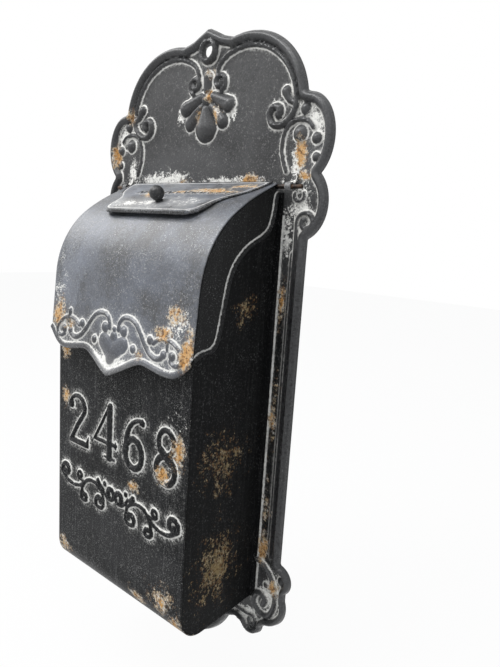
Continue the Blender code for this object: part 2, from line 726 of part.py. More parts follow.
def hood_fold():
    """The hood cover's outer face in side view, from the rod to the tip of its edge."""
    turn = math.radians(HOOD_SLOPE)
    brow_drop = [math.radians(angle) for angle in (HOOD_SLOPE, SHOULDER_SLOPE, FRONT_SLOPE)]
    reach = SHOULDER_RADIUS * (math.sin(brow_drop[1]) - math.sin(brow_drop[0]))
    reach += BROW_RADIUS * (math.sin(brow_drop[2]) - math.sin(brow_drop[1]))
    start = (HINGE[0] - HOOD_LIFT * math.sin(turn), HINGE[1] + HOOD_LIFT * math.cos(turn))
    straight = (BOX_DEPTH + HOOD_FRONT_CLEARANCE + start[0] - reach) / math.cos(turn)
    points = [start, (start[0] - straight * math.cos(turn), start[1] - straight * math.sin(turn))]
    for radius, first, last, count in ((SHOULDER_RADIUS, HOOD_SLOPE, SHOULDER_SLOPE, 3),
                                       (BROW_RADIUS, SHOULDER_SLOPE, FRONT_SLOPE, 11)):
        y, z = points[-1]
        y0 = y + radius * math.sin(math.radians(first))
        z0 = z - radius * math.cos(math.radians(first))
        for index in range(1, count + 1):
            angle = math.radians(first + (last - first) * index / count)
            points.append((y0 - radius * math.sin(angle), z0 + radius * math.cos(angle)))
    y, z = points[-1]
    drop = z - (HOOD_CORNER_Z - HOOD_TIP_DROP)
    points.append((y - drop / math.tan(math.radians(FRONT_SLOPE)), z - drop))
    return Fold(points)


def hood_edge():
    """The cover's lower edge, right half, from its tip to its corner, as (x, z)."""
    half, corner = HOOD_HALF, HOOD_CORNER_Z
    tip = corner - HOOD_TIP_DROP
    knots = [(0, tip), (9, tip + 3.4), (20, tip + 9), (29, tip + 13.3), (36, tip + 14.8), (45, tip + 13.6),
             (half - 28, tip + 11.5), (half - 18, tip + 11.4), (half - 10, tip + 14.5),
             (half - 4, tip + 19.5), (half, corner)]
    return smooth_curve(knots, 4.5)


def hood_ornament():
    """The scroll band over the cover's edge, as (x, z) strokes."""
    low = HOOD_CORNER_Z
    wave = smooth_curve([(5.4, low + 13), (6.4, low + 19), (10.5, low + 23), (16, low + 24),
                         (21.5, low + 22.8), (26, low + 20), (31.5, low + 14), (36.5, low + 7.5),
                         (43, low + 1.5), (50, low - 1), (56, low + 0.5)], 3.5)
    sickle = smooth_curve([(46, low + 9.5), (50, low + 12.5), (57, low + 14.5), (65, low + 13.5),
                           (72, low + 9.5), (76, low + 4), (75, low - 1), (70, low - 2.7),
                           (65, low - 0.5)], 3.5)
    right = [
        stroke(wave, 2.0, 2.2, 2.4, 2.2),
        stroke(sickle, 1.8, 2.0, 1.8, 2.0),
        stroke([(59.5, low + 20), (60.2, low + 13), (61, low + 7)], 2.4, 2.0, 1.6, 1.7),
        stroke([(2.5, low - 3), (11.5, low + 2.2)], 8.0, 2.6, 6.6, 2.4),
        boss((11.5, low + 12.8), 4.5, 2.8),
        boss((66.5, low + 3.5), 3.8, 2.6),
        boss((57.6, low + 3.2), 3.4, 2.2),
        boss((42, low + 11.3), 3.6, 2.2),
        boss((24, low + 1.3), 3.5, 2.2),
    ]
    middle = [boss((0, low + 13), 2.4, 1.8), boss((0, low + 7), 4.5, 2.2), boss((0, low - 9), 6.2, 2.6)]
    return both_sides(right) + middle


def build_hood_cover():
    """The hood's top and front, bent from one sheet, with slot, scrolls and two eyes."""
    fold = hood_fold()
    half = HOOD_HALF
    notch = half - EYE_INSET - HOOD_KNUCKLE - 1
    edge = [(x, fold.mark_at_z(z)) for x, z in hood_edge()]
    right = [(notch, HOOD_REAR_CUT), (notch, 0), (half, 0)] + list(reversed(edge))
    outline = right + [(-x, mark) for x, mark in reversed(right) if abs(x) > 1e-6]
    slot = [(SLOT_REAR_HALF, SLOT_START), (SLOT_REAR_HALF, SLOT_START + 10), (SLOT_FRONT_HALF, SLOT_END)]
    slot = slot + [(-x, mark) for x, mark in reversed(slot)]
    strokes = [([(x, fold.mark_at_z(z)) for x, z in points], radii, heights)
               for points, radii, heights in hood_ornament()]
    for row in inner_rows(outline, HOOD_BEAD_RADIUS):
        low = [(x, mark) for x, mark in row if mark > edge[-1][1] - HOOD_BEAD_RADIUS]
        if len(low) > 2:
            strokes.append(stroke(low, HOOD_BEAD_RADIUS, HOOD_BEAD_HEIGHT))

    def lay(x, mark, height):
        y, z = fold.at(mark, height)
        share = min(max((HOOD_CORNER_Z + 8 - z) / (HOOD_TIP_DROP + 8), 0), 1)
        flare = HOOD_TIP_FLARE * share ** 2 * (1 - (x / half) ** 2)
        return Vector((x, y - flare, z))

    sheet = pressed_sheet(lay, outline, strokes, holes=[slot], rows=fold.bend_rows(half))
    cover = finish_object("hood_cover", sheet, PAINTED_TIN, smooth=40)
    for name, sign in (("left", -1), ("right", 1)):
        outer_end, inner_end = sign * (half - EYE_INSET), sign * (half - EYE_INSET - HOOD_KNUCKLE)
        eye = ribbon(eye_path(HOOD_LIFT - SHEET / 2, 0.0, EYE_TAIL), EYE_SHEET, inner_end, outer_end)
        weld_on(cover, finish_object("eye_" + name, eye, PAINTED_TIN))
    return cover


def on_slope(reach, lift):
    """The (y, z) place on the hood's slope, from the rod's axis."""
    turn = math.radians(HOOD_SLOPE)
    y = HINGE[0] - reach * math.cos(turn) - lift * math.sin(turn)
    z = HINGE[1] - reach * math.sin(turn) + lift * math.cos(turn)
    return y, z


def eye_path(radius, rise, tail):
    """A rolled eye round the rod in side view, with a tail that rises to its leaf."""
    points = [on_slope(radius * math.cos(a), radius * math.sin(a))
              for a in np.radians(np.linspace(-30, -270, 15))]
    return points + [on_slope(tail * 0.6, radius + rise), on_slope(tail, radius + rise)]


def build_cheek(name, sign):
    """A hood cheek: a flat side with a beaded rim and a flange under the cover."""
    fold = hood_fold()
    under = SHEET + GAP
    x = sign * HOOD_HALF
    first, last = CHEEK_START, fold.mark_at_z(HOOD_CORNER_Z + CHEEK_FOOT_RISE)
    marks = [first] + [mark for mark in fold.marks if first + 1 < mark < last - 3] + [last]
    top = [fold.at(mark, -under) for mark in marks]
    y0, z0 = HINGE
    knots = [top[-1], (y0 - 76.5, z0 - 125.2), (y0 - 66, z0 - 123.5), (y0 - 58.5, z0 - 116),
             (y0 - 53.7, z0 - 95.2), (y0 - 47, z0 - 67.5), (y0 - 33, z0 - 51.2),
             (y0 - 10, z0 - 38.5), (y0 - 2.0, z0 - 25.5), (y0 + 1.3, z0 - 5.5)]
    rim = smooth_curve(knots, 5.0)
    notch = arc(HINGE, CHEEK_NOTCH_RADIUS, -62, -140, step=CHEEK_NOTCH_RADIUS)
    outline = top + rim[1:] + notch
    bead = np.array(rim[1:-1])
    tangent = np.gradient(bead, axis=0)
    tangent /= np.linalg.norm(tangent, axis=1)[:, None]
    inward = np.stack([-tangent[:, 1], tangent[:, 0]], axis=1) * CHEEK_BEAD_RADIUS
    if not inside((bead + inward)[len(bead) // 2][None], outline)[0]:
        inward = -inward
    bm = pressed_face(outline, [stroke(bead + inward, CHEEK_BEAD_RADIUS, CHEEK_BEAD_HEIGHT)])
    for vert in bm.verts:
        y, z, height = vert.co
        vert.co = (x + sign * height, y, z)
    near_top = distance_to_line(np.array([tuple(v.co)[1:] for v in bm.verts]), top)[0] < 1e-3
    on_top = {vert for vert, near in zip(bm.verts, near_top) if near}
    seam = [edge for edge in bm.edges if edge.is_boundary and set(edge.verts) <= on_top]
    grown = bmesh.ops.extrude_edge_only(bm, edges=seam)
    moved = [item for item in grown["geom"] if isinstance(item, bmesh.types.BMVert)]
    for vert in moved:
        vert.co.x = x - sign * SEAM_FLANGE
    bmesh.ops.recalc_face_normals(bm, faces=bm.faces)
    panel = max(bm.faces, key=lambda face: abs(face.normal.x) * face.calc_area())
    inwards = panel.normal.x * sign > 0
    return folded_sheet(name, bm, PAINTED_TIN, inwards)


# Letter flap


def flap_outline():
    """The flap's edge as (x, reach) points: straight front, S-shaped sides."""
    rear = HOOD_HALF - FLAP_SIDE_INSET
    front, reach = FLAP_FRONT_HALF, FLAP_REACH
    knots = [(front - 4, reach), (front + 2.5, reach - 4), (front + 6.5, reach - 12),
             (front + 8.5, reach - 21), (front + 12, reach - 28.5), (front + 19, reach - 35.5),
             (rear - 6.5, reach - 43), (rear - 2, reach - 53), (rear, 4), (rear, -1)]
    run = smooth_curve(knots, 5.0)
    return run + [(-x, mark) for x, mark in reversed(run)]


def hood_level(hood, mark):
    """How high the hood's outer face lies over the rod's axis, square to the slope."""
    turn = math.radians(HOOD_SLOPE)
    y, z = hood.at(mark)
    return (z - HINGE[1]) * math.cos(turn) - (y - HINGE[0]) * math.sin(turn)


def build_slot_flap():
    """A shallow pan over the letter slot, with a rolled eye along its back."""
    outline = flap_outline()
    hood = hood_fold()

    def lay(x, reach, height):
        return Vector((x, *on_slope(reach, FLAP_LIFT + height)))

    def room(reach):
        under = FLAP_LIFT - SHEET - FLAP_LIP_CLEARANCE - hood_level(hood, reach)
        return min(max(under, 0.0), FLAP_LIP) if reach > FLAP_LIP_START else 0.0

    def lip(places):
        distance = distance_to_line(places, outline, closed=True)[0]
        depth = np.array([room(reach) for reach in places[:, 1]])
        return -depth * (1 - np.clip(distance / FLAP_LIP_WIDTH, 0, 1)) ** 1.5

    rows = [row for offset in (FLAP_LIP_WIDTH / 2, FLAP_LIP_WIDTH) for row in inner_rows(outline, offset)]
    hole = arc((0, KNOB_REACH), SCREW_RADIUS + GAP, 0, 360, step=1.2)[:-1]
    pan = pressed_sheet(lay, outline, [], holes=[hole], rows=rows, extra=lip)
    flap = finish_object("slot_flap", pan, WORN_TIN, smooth=40)
    radius = HOOD_LIFT - SHEET / 2
    rise = FLAP_LIFT - SHEET / 2 - radius
    half = HOOD_HALF - EYE_INSET - HOOD_KNUCKLE - 2
    eye = ribbon(eye_path(radius, rise, HOOD_REAR_CUT - 2), EYE_SHEET, -half, half)
    weld_on(flap, finish_object("flap_eye", eye, WORN_TIN))
    return flap


def place_on_flap(bm, lift):
    """Stand a turned piece on the flap's slope at the knob's place."""
    turn = math.radians(HOOD_SLOPE)
    y, z = on_slope(KNOB_REACH, lift)
    for corner in bm.verts:
        x, side, up = corner.co
        corner.co = (x, y + side * math.cos(turn) - up * math.sin(turn),
                     z + side * math.sin(turn) + up * math.cos(turn))
    return bm


def build_knob():
    """The ball knob with its tapped bore, the washer and the screw that holds it."""
    bore = SCREW_RADIUS + GAP
    depth = SCREW_REACH + 2 * GAP
    centre = KNOB_NECK_HEIGHT + math.sqrt(KNOB_RADIUS ** 2 - KNOB_NECK_RADIUS ** 2)
    first = math.degrees(math.asin((KNOB_NECK_HEIGHT - centre) / KNOB_RADIUS))
    ball = arc((0, centre), KNOB_RADIUS, first, 90, step=1.9)
    profile = [(0, depth), (bore, depth), (bore, 0), (KNOB_FOOT_RADIUS, 0),
               (KNOB_FOOT_RADIUS, KNOB_FOOT_HEIGHT)] + ball[:-1] + [(0, centre + KNOB_RADIUS)]
    knob = place_on_flap(turned(profile), FLAP_LIFT + GAP)

    top = FLAP_LIFT - SHEET - GAP
    ring = [(bore, 0), (WASHER_RADIUS, 0), (WASHER_RADIUS, -WASHER_THICKNESS), (bore, -WASHER_THICKNESS)]
    washer = place_on_flap(turned(ring), top)

    top -= WASHER_THICKNESS + GAP
    shank = FLAP_LIFT + GAP + SCREW_REACH - top
    head = [(0, shank), (SCREW_RADIUS, shank), (SCREW_RADIUS, 0), (SCREW_HEAD_RADIUS, 0),
            (SCREW_HEAD_RADIUS, -0.6 * SCREW_HEAD_HEIGHT),
            (0.7 * SCREW_HEAD_RADIUS, -SCREW_HEAD_HEIGHT), (0, -SCREW_HEAD_HEIGHT)]
    screw = place_on_flap(turned(head), top)
    return [finish_object("flap_knob", knob, PAINTED_TIN, smooth=50),
            finish_object("knob_washer", washer, BARE_STEEL, smooth=50),
            finish_object("knob_screw", screw, BARE_STEEL, smooth=50)]


# Hinge


def build_hinge():
    """The rod that everything turns on, and the straps that hold it to the plate."""
    length = BOX_HALF + ROD_OVERHANG
    rod = turned([(0, -length), (ROD_RADIUS - 0.4, -length), (ROD_RADIUS, -length + 0.5),
                  (ROD_RADIUS, length - 0.5), (ROD_RADIUS - 0.4, length), (0, length)])
    for corner in rod.verts:
        x, y, z = corner.co
        corner.co = (z, HINGE[0] + x, HINGE[1] + y)
    finish_object("hinge_rod", rod, BARE_STEEL, smooth=50)

    y0, z0 = HINGE
    radius = EYE_INNER + STRAP_THICKNESS / 2
    leaf = PLATE_FRONT - GAP - STRAP_THICKNESS / 2
    path = [(leaf, z0 + STRAP_LEAF), (leaf, z0 + 5.5)]
    path += [(y0 + radius * math.cos(a), z0 + radius * math.sin(a))
             for a in np.radians(np.linspace(35, 320, 15))]
    for name, sign in (("left", -1), ("right", 1)):
        middle = sign * (BOX_HALF + STRAP_OFFSET)
        strap = ribbon(path, STRAP_THICKNESS, middle - STRAP_WIDTH / 2, middle + STRAP_WIDTH / 2)
        finish_object(name + "_hinge_strap", strap, PAINTED_TIN)


def main():
    """Build every piece of the letter box."""
    start_empty()
    build_back_plate()
    build_front_panel()
    build_side_panel("left_side_panel", -1)
    build_side_panel("right_side_panel", 1)
    hood = [build_hood_cover(), build_cheek("left_hood_cheek", -1), build_cheek("right_hood_cheek", 1)]
    hang_on(add_pivot("hood_pivot"), hood)
    hang_on(add_pivot("flap_pivot"), [build_slot_flap()] + build_knob())
    build_hinge()


main()
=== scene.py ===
"""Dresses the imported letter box: finely pressed tin, worn black paint, limewash and rust.

Sizes are written in millimetres in the model's own frame: X to the right, +Y into the wall,
Z up from half way up the back plate. A mesh becomes metres when it is finished.
"""

import logging
import math
from dataclasses import dataclass, field, replace
from enum import Enum
from typing import Callable, Iterable, Optional, Sequence, Union

import bmesh
import bpy
import numpy as np
from mathutils import Matrix, Vector


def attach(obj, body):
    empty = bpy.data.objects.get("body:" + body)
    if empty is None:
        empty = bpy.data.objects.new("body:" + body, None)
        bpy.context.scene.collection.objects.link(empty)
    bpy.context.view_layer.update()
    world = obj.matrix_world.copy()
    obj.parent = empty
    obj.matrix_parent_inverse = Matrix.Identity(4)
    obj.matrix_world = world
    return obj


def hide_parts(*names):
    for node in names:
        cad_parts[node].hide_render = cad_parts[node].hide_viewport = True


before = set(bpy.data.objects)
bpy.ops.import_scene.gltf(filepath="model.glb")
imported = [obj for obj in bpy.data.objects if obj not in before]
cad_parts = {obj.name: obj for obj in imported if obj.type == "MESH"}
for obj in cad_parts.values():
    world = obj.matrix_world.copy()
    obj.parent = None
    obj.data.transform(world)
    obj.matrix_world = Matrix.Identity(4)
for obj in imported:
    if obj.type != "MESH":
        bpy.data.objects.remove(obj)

LOG = logging.getLogger("letter_box")
MM = 0.001
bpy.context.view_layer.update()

Point = tuple[float, float]
Line = Sequence[Point]
Place = Callable[[np.ndarray, np.ndarray, np.ndarray], np.ndarray]
Reading = Callable[[np.ndarray], np.ndarray]

# Sheet, box and hinge, as the solids have them
SHEET = 0.8
GAP = 0.3
BOX_HALF = 82.0
BOX_DEPTH = 88.0
BOX_FLOOR_Z = -207.5
BOX_TOP_Z = 50.0
FLOOR_BEND = 25.0
FLOOR_TAB = 8.0
FLOOR_TAB_SETBACK = 7.0
HINGE = (-8.0, 147.0)
ROD_RADIUS = 1.75
EYE_INNER = ROD_RADIUS + GAP
HOOD_LIFT = EYE_INNER + SHEET
FLAP_LIFT = HOOD_LIFT + GAP + SHEET
HOOD_HALF = BOX_HALF + 4.0
PLATE_HALF = BOX_HALF + 30.0
PLATE_TOP_Z = 276.0
HOLE_Z = PLATE_TOP_Z - 18.0
SLOPE = 25.0

# The hood's eyes: how far they stand in from its sides, how long each is, and how deep the
# cover is cut away between them for the flap's own eye
EYE_INSET = 2.0
KNUCKLE = 14.0
REAR_CUT = 12.0

# How lines and sheets are read: past FAR a line's foot isn't told any more, sites are worked
# on in chunks, and lengths below TINY count as nothing
FAR = 9.0
CHUNK = 4000
TINY = 1e-12
ON_MIDDLE = 1e-6
FLAT_SHOULDER = 1.5
ROUND_POWER = 0.85
SHARP_ANGLE = 40.0


class Profile(Enum):
    """How a pressed line rises from the sheet."""

    ROUND = "round"
    FLAT = "flat"
    GROOVE = "groove"


class Rgb(Enum):
    """Colours of the old finishes, as linear red, green and blue."""

    SOOT = (0.0045, 0.0048, 0.005)
    BLACK = (0.012, 0.0125, 0.0135)
    CHARCOAL = (0.028, 0.028, 0.029)
    GRAPHITE = (0.046, 0.046, 0.046)
    SLATE = (0.072, 0.073, 0.075)
    BLUE_GREY = (0.098, 0.107, 0.128)
    PEWTER = (0.175, 0.190, 0.222)
    ASH = (0.30, 0.30, 0.30)
    LIME = (0.80, 0.79, 0.75)
    CREAM = (0.62, 0.50, 0.32)
    TAN = (0.27, 0.20, 0.10)
    OLIVE = (0.12, 0.095, 0.05)
    RUST = (0.50, 0.26, 0.080)
    DARK_RUST = (0.11, 0.055, 0.025)
    STEEL = (0.16, 0.155, 0.145)


class Grain(Enum):
    """The noises of the finishes: waves a metre, detail, roughness and where each is read."""

    CLOUDS = (26.0, 6.0, 0.62, 0.0)
    MOTTLE = (120.0, 8.0, 0.75, 0.6)
    FINE = (520.0, 3.0, 0.7, 0.0)
    WEAR = (17.0, 6.0, 0.66, 1.7)
    BRUSH = (420.0, 4.0, 0.65, 0.0)
    SPECKS = (860.0, 2.0, 0.65, 5.3)
    SPECK_FIELDS = (34.0, 5.0, 0.7, 2.2)
    BREAKS = (310.0, 5.0, 0.72, 7.9)
    LIME_EDGE = (330.0, 4.0, 0.7, 8.2)
    LIME_BODY = (48.0, 4.0, 0.6, 4.4)
    LIME_DUST = (620.0, 3.0, 0.75, 1.1)
    LIME_RIM = (60.0, 8.0, 0.72, 3.6)
    RUST_RIM = (85.0, 9.0, 0.76, 3.1)
    RUST_FLECKS = (520.0, 4.0, 0.7, 6.6)
    RUST_TONES = (230.0, 5.0, 0.7, 6.0)
    RUST_PITS = (430.0, 4.0, 0.7, 9.1)
    STEEL_GRAIN = (600.0, 4.0, 0.65, 0.0)
    STEEL_BROWN = (140.0, 4.0, 0.6, 2.0)


# Lines in the flat


def arc(centre: Point, radii: Union[float, Point], start: float, end: float,
        step: float = 1.5) -> list[Point]:
    """Points along an arc of an ellipse.

    Args:
        centre: its middle.
        radii: one radius, or one along each axis.
        start: the first angle in degrees.
        end: the last angle in degrees.
        step: about how far apart the points lie.

    Returns:
        The points, both ends among them.
    """
    rx, rz = radii if isinstance(radii, tuple) else (radii, radii)
    length = math.radians(abs(end - start)) * (rx + rz) / 2
    angles = np.radians(np.linspace(start, end, max(2, math.ceil(length / step)) + 1))
    return [(centre[0] + rx * math.cos(a), centre[1] + rz * math.sin(a)) for a in angles]


def spiral(centre: Point, outer: float, inner: float, start: float, turn: float) -> list[Point]:
    """Points along a spiral that winds inwards.

    Args:
        centre: its middle.
        outer: the radius at its start.
        inner: the radius at its end.
        start: the first angle in degrees.
        turn: how far it winds in degrees, anticlockwise where it is above 0.

    Returns:
        The points, about a millimetre apart.
    """
    count = max(8, math.ceil(math.radians(abs(turn)) * (outer + inner) / 2))
    shares = np.linspace(0, 1, count + 1)
    angles = np.radians(start + turn * shares)
    radii = outer + (inner - outer) * shares
    return [(centre[0] + r * math.cos(a), centre[1] + r * math.sin(a))
            for r, a in zip(radii, angles)]


def smooth_curve(points: Line, step: float = 1.5) -> list[Point]:
    """A Catmull-Rom curve through some points.

    Args:
        points: the points that it passes through, two at least.
        step: about how far apart its own points lie.

    Returns:
        The curve's points, both ends among them.
    """
    first = tuple(2 * a - b for a, b in zip(points[0], points[1]))
    last = tuple(2 * a - b for a, b in zip(points[-1], points[-2]))
    knots = np.array([first, *points, last], dtype=float)
    curve = [tuple(knots[1])]
    for p0, p1, p2, p3 in zip(knots, knots[1:], knots[2:], knots[3:]):
        count = max(1, math.ceil(np.linalg.norm(p2 - p1) / step))
        for t in np.linspace(0, 1, count + 1)[1:]:
            cubic = 2 * p1 + (p2 - p0) * t + (2 * p0 - 5 * p1 + 4 * p2 - p3) * t ** 2
            curve.append(tuple(0.5 * (cubic + (3 * p1 - p0 - 3 * p2 + p3) * t ** 3)))
    return curve


def closed_outline(right_half: Line) -> list[Point]:
    """A loop from its right half and that half's mirror image."""
    left = [(-x, z) for x, z in reversed(right_half) if abs(x) > ON_MIDDLE]
    return list(right_half) + left


def nearest(sites: np.ndarray, line: Line,
            closed: bool = False) -> tuple[np.ndarray, np.ndarray, np.ndarray]:
    """Find the nearest place of a line for each site.

    Args:
        sites: flat coordinates in millimetres, one row a site.
        line: the line's points, or a single point.
        closed: whether the line returns to its first point.

    Returns:
        The distance, the place along the line in points, and the nearest point itself.
    """
    points = np.array(line, dtype=float)
    if len(points) == 1:
        distance = np.linalg.norm(sites - points[0], axis=1)
        return distance, np.zeros(len(sites)), np.tile(points, (len(sites), 1))
    start = points if closed else points[:-1]
    along = (np.roll(points, -1, axis=0) if closed else points[1:]) - start
    size = np.maximum((along ** 2).sum(axis=1), TINY)
    found = []
    for chunk in np.array_split(sites, max(1, len(sites) // CHUNK)):
        share = np.clip(((chunk[:, None] - start) * along).sum(axis=2) / size, 0, 1)
        near = start + share[..., None] * along
        distance = np.linalg.norm(chunk[:, None] - near, axis=2)
        best = distance.argmin(axis=1)
        rows = np.arange(len(chunk))
        found.append((distance[rows, best], best + share[rows, best], near[rows, best]))
    return tuple(np.concatenate(part) for part in zip(*found))


def inside(sites: np.ndarray, loop: Line) -> np.ndarray:
    """Tell which sites lie inside a closed loop.

    Args:
        sites: flat coordinates in millimetres, one row a site.
        loop: the loop's points.

    Returns:
        True for each site inside.
    """
    points = np.array(loop)
    following = np.roll(points, -1, axis=0)
    level = following[:, 1] == points[:, 1]
    rise = np.where(level, TINY, following[:, 1] - points[:, 1])
    run = following[:, 0] - points[:, 0]
    found = []
    for chunk in np.array_split(sites, max(1, len(sites) // CHUNK)):
        x, z = chunk[:, None, 0], chunk[:, None, 1]
        spans = (points[:, 1] > z) != (following[:, 1] > z)
        left = x < points[:, 0] + (z - points[:, 1]) / rise * run
        found.append((spans & left).sum(axis=1) % 2 == 1)
    return np.concatenate(found)


def ladder(marks: Sequence[float], steps: Sequence[float]) -> np.ndarray:
    """Work out grid lines of changing spacing.

    Args:
        marks: the places that have a line in any case, in order.
        steps: about how far apart the lines lie between each two of them.

    Returns:
        The lines' places in order.
    """
    runs = [np.linspace(start, end, max(1, round((end - start) / step)) + 1)
            for start, end, step in zip(marks, marks[1:], steps)]
    return np.unique(np.round(np.concatenate(runs), 5))


def rolled_edge(distance: np.ndarray, radius: Union[float, np.ndarray], height: float,
                power: float = 1.0) -> np.ndarray:
    """The height of an edge that is rolled into a bead, by the distance from that edge."""
    return height * np.clip(1 - ((distance - radius) / radius) ** 2, 0, 1) ** power


@dataclass(frozen=True)
class Stroke:
    """A pressed line: its points, with half width and height from end to end."""

    points: tuple[Point, ...]
    radii: tuple[float, float]
    heights: tuple[float, float]
    profile: Profile = Profile.ROUND

    def mirrored(self) -> "Stroke":
        """The same line on the other side of X = 0."""
        return self.moved(lambda point: (-point[0], point[1]))

    def moved(self, along: Callable[[Point], Point]) -> "Stroke":
        """The line with each point taken elsewhere."""
        return replace(self, points=tuple(along(point) for point in self.points))


def stroke(points: Line, radius: float, height: float, end_radius: Optional[float] = None,
           end_height: Optional[float] = None, profile: Profile = Profile.ROUND) -> Stroke:
    """Describe a pressed line whose end may be wider and higher than its start.

    Args:
        points: its middle line.
        radius: half its width at the start.
        height: its height at the start.
        end_radius: half its width at the end, where that differs.
        end_height: its height at the end, where that differs.
        profile: how it rises from the sheet.

    Returns:
        The stroke.
    """
    radii = (radius, end_radius or radius)
    heights = (height, end_height or height)
    return Stroke(tuple(map(tuple, points)), radii, heights, profile)


def boss(centre: Point, radius: float, height: float) -> Stroke:
    """A raised round dome."""
    return stroke([centre], radius, height)


def both_sides(strokes: list[Stroke]) -> list[Stroke]:
    """The strokes with their mirror images."""
    return strokes + [one.mirrored() for one in strokes]


@dataclass
class Relief:
    """What is pressed into a sheet, read at any place of it."""

    strokes: list[Stroke]

    def read(self, sites: np.ndarray) -> tuple[np.ndarray, np.ndarray, np.ndarray]:
        """Read the relief at some sites.

        Args:
            sites: flat coordinates in millimetres, one row a site.

        Returns:
            The height, how far outside the nearest raised line's foot the site lies, and how
            near a line's crest it is, from 0 to 1.
        """
        height, crest = np.zeros(len(sites)), np.zeros(len(sites))
        edge = np.full(len(sites), FAR)
        for one in self.strokes:
            points = np.array(one.points)
            margin = max(one.radii) + FAR
            low, high = points.min(0) - margin, points.max(0) + margin
            close = ((sites > low) & (sites < high)).all(axis=1)
            if not close.any():
                continue
            distance, place, _ = nearest(sites[close], one.points)
            share = place / max(len(points) - 1, 1)
            radius = one.radii[0] + (one.radii[1] - one.radii[0]) * share
            peak = one.heights[0] + (one.heights[1] - one.heights[0]) * share
            within = np.minimum(distance / radius, 1)
            if one.profile is Profile.GROOVE:
                height[close] -= peak * (1 - within ** 2)
                continue
            if one.profile is Profile.FLAT:
                rise = np.clip((radius - distance) / FLAT_SHOULDER, 0, 1)
                shape = rise ** 2 * (3 - 2 * rise)
            else:
                shape = (1 - within ** 2) ** ROUND_POWER
            height[close] = np.maximum(height[close], peak * shape)
            edge[close] = np.minimum(edge[close], distance - radius)
            crest[close] = np.maximum(crest[close], shape)
        return height, edge, crest


class Fold:
    """The side view of a bent sheet: a path of (y, z) points on its outer face."""

    def __init__(self, points: Line) -> None:
        """Measure the path and find the direction that a raised place is pushed in.

        Args:
            points: the path's (y, z) points, with the outer side on their right.
        """
        self.points = np.array(points, dtype=float)
        steps = np.diff(self.points, axis=0)
        self.marks = np.concatenate([[0], np.cumsum(np.linalg.norm(steps, axis=1))])
        tangent = steps / np.linalg.norm(steps, axis=1)[:, None]
        normal = np.stack([tangent[:, 1], -tangent[:, 0]], axis=1)
        joined = np.vstack([normal[:1], normal[:-1] + normal[1:], normal[-1:]])
        joined /= np.linalg.norm(joined, axis=1)[:, None]
        lean = (joined * np.vstack([normal, normal[-1:]])).sum(axis=1)
        self.normals = joined / lean[:, None]

    def at(self, mark: np.ndarray, height: np.ndarray) -> tuple[np.ndarray, np.ndarray]:
        """Find places on the path.

        Args:
            mark: how far along the path each place lies.
            height: how far each place is raised off the path.

        Returns:
            The places' Y and Z.
        """
        place = [np.interp(mark, self.marks, self.points[:, i]) for i in (0, 1)]
        normal = [np.interp(mark, self.marks, self.normals[:, i]) for i in (0, 1)]
        return place[0] + normal[0] * height, place[1] + normal[1] * height

    def mark_at_z(self, z: float) -> float:
        """The mark at which a falling path reaches a level."""
        return float(np.interp(-z, -self.points[:, 1], self.marks))

    def down(self, point: Point) -> Point:
        """Take an (x, z) point to its (x, mark)."""
        return point[0], self.mark_at_z(point[1])

    def lay(self, x: np.ndarray, mark: np.ndarray, height: np.ndarray) -> np.ndarray:
        """Take flat sheet coordinates to places in space."""
        y, z = self.at(mark, height)
        return np.stack([x, y, z], axis=1)


def on_slope(reach: np.ndarray, lift: np.ndarray) -> tuple[np.ndarray, np.ndarray]:
    """Find places over the hood's slope, measured from the rod's axis.

    Args:
        reach: how far down the slope each place lies.
        lift: how far off the slope it lies.

    Returns:
        The places' Y and Z.
    """
    turn = math.radians(SLOPE)
    y = HINGE[0] - reach * math.cos(turn) - lift * math.sin(turn)
    z = HINGE[1] - reach * math.sin(turn) + lift * math.cos(turn)
    return y, z


# Making pieces


def finish_piece(name: str, bm: bmesh.types.BMesh, finish: bpy.types.Material, body: str,
                 nodes: Iterable[str] = ()) -> bpy.types.Object:
    """Turn a bmesh in millimetres into a dressed piece on its body.

    Args:
        name: the piece's name.
        bm: its mesh, which is freed.
        finish: its material.
        body: the body that it rides on.
        nodes: the solids that it stands for.

    Returns:
        The finished object.
    """
    bmesh.ops.scale(bm, vec=(MM, MM, MM), verts=bm.verts)
    mesh = bpy.data.meshes.new(name)
    bm.to_mesh(mesh)
    bm.free()
    mesh.shade_smooth()
    mesh.set_sharp_from_angle(angle=math.radians(SHARP_ANGLE))
    mesh.materials.append(finish)
    thing = bpy.data.objects.new(name, mesh)
    bpy.context.scene.collection.objects.link(thing)
    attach(thing, body)
    if nodes:
        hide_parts(*nodes)
    LOG.info("%s: %d faces on %s", name, len(mesh.polygons), body)
    return thing


def add_wall(thing: bpy.types.Object, thickness: float = SHEET, centred: bool = False) -> None:
    """Give an open sheet its thickness.

    Args:
        thing: the piece.
        thickness: the sheet's thickness in millimetres.
        centred: whether the wall grows to both sides, and not inwards alone.
    """
    wall = thing.modifiers.new("sheet", "SOLIDIFY")
    wall.thickness = thickness * MM
    wall.offset = 0.0 if centred else -1.0
    wall.use_even_offset = False


def set_attribute(thing: bpy.types.Object, name: str, values: np.ndarray) -> None:
    """Store a number for each vertex, which the finishes read by name."""
    attribute = thing.data.attributes.new(name, "FLOAT", "POINT")
    attribute.data.foreach_set("value", np.asarray(values, dtype=np.float32))


def finish_strip(name: str, strip: bmesh.types.BMesh, finish: bpy.types.Material, body: str,
                 thickness: float = SHEET,
                 nodes: Iterable[str] = ()) -> bpy.types.Object:
    """Turn the middle surface of a strip into a dressed piece.

    Args:
        name: the piece's name.
        strip: its middle surface, which is freed.
        finish: its material.
        body: the body that it rides on.
        thickness: the strip's thickness in millimetres.
        nodes: the solids that it stands for.

    Returns:
        The finished object.
    """
    thing = finish_piece(name, strip, finish, body, nodes)
    add_wall(thing, thickness, centred=True)
    return thing


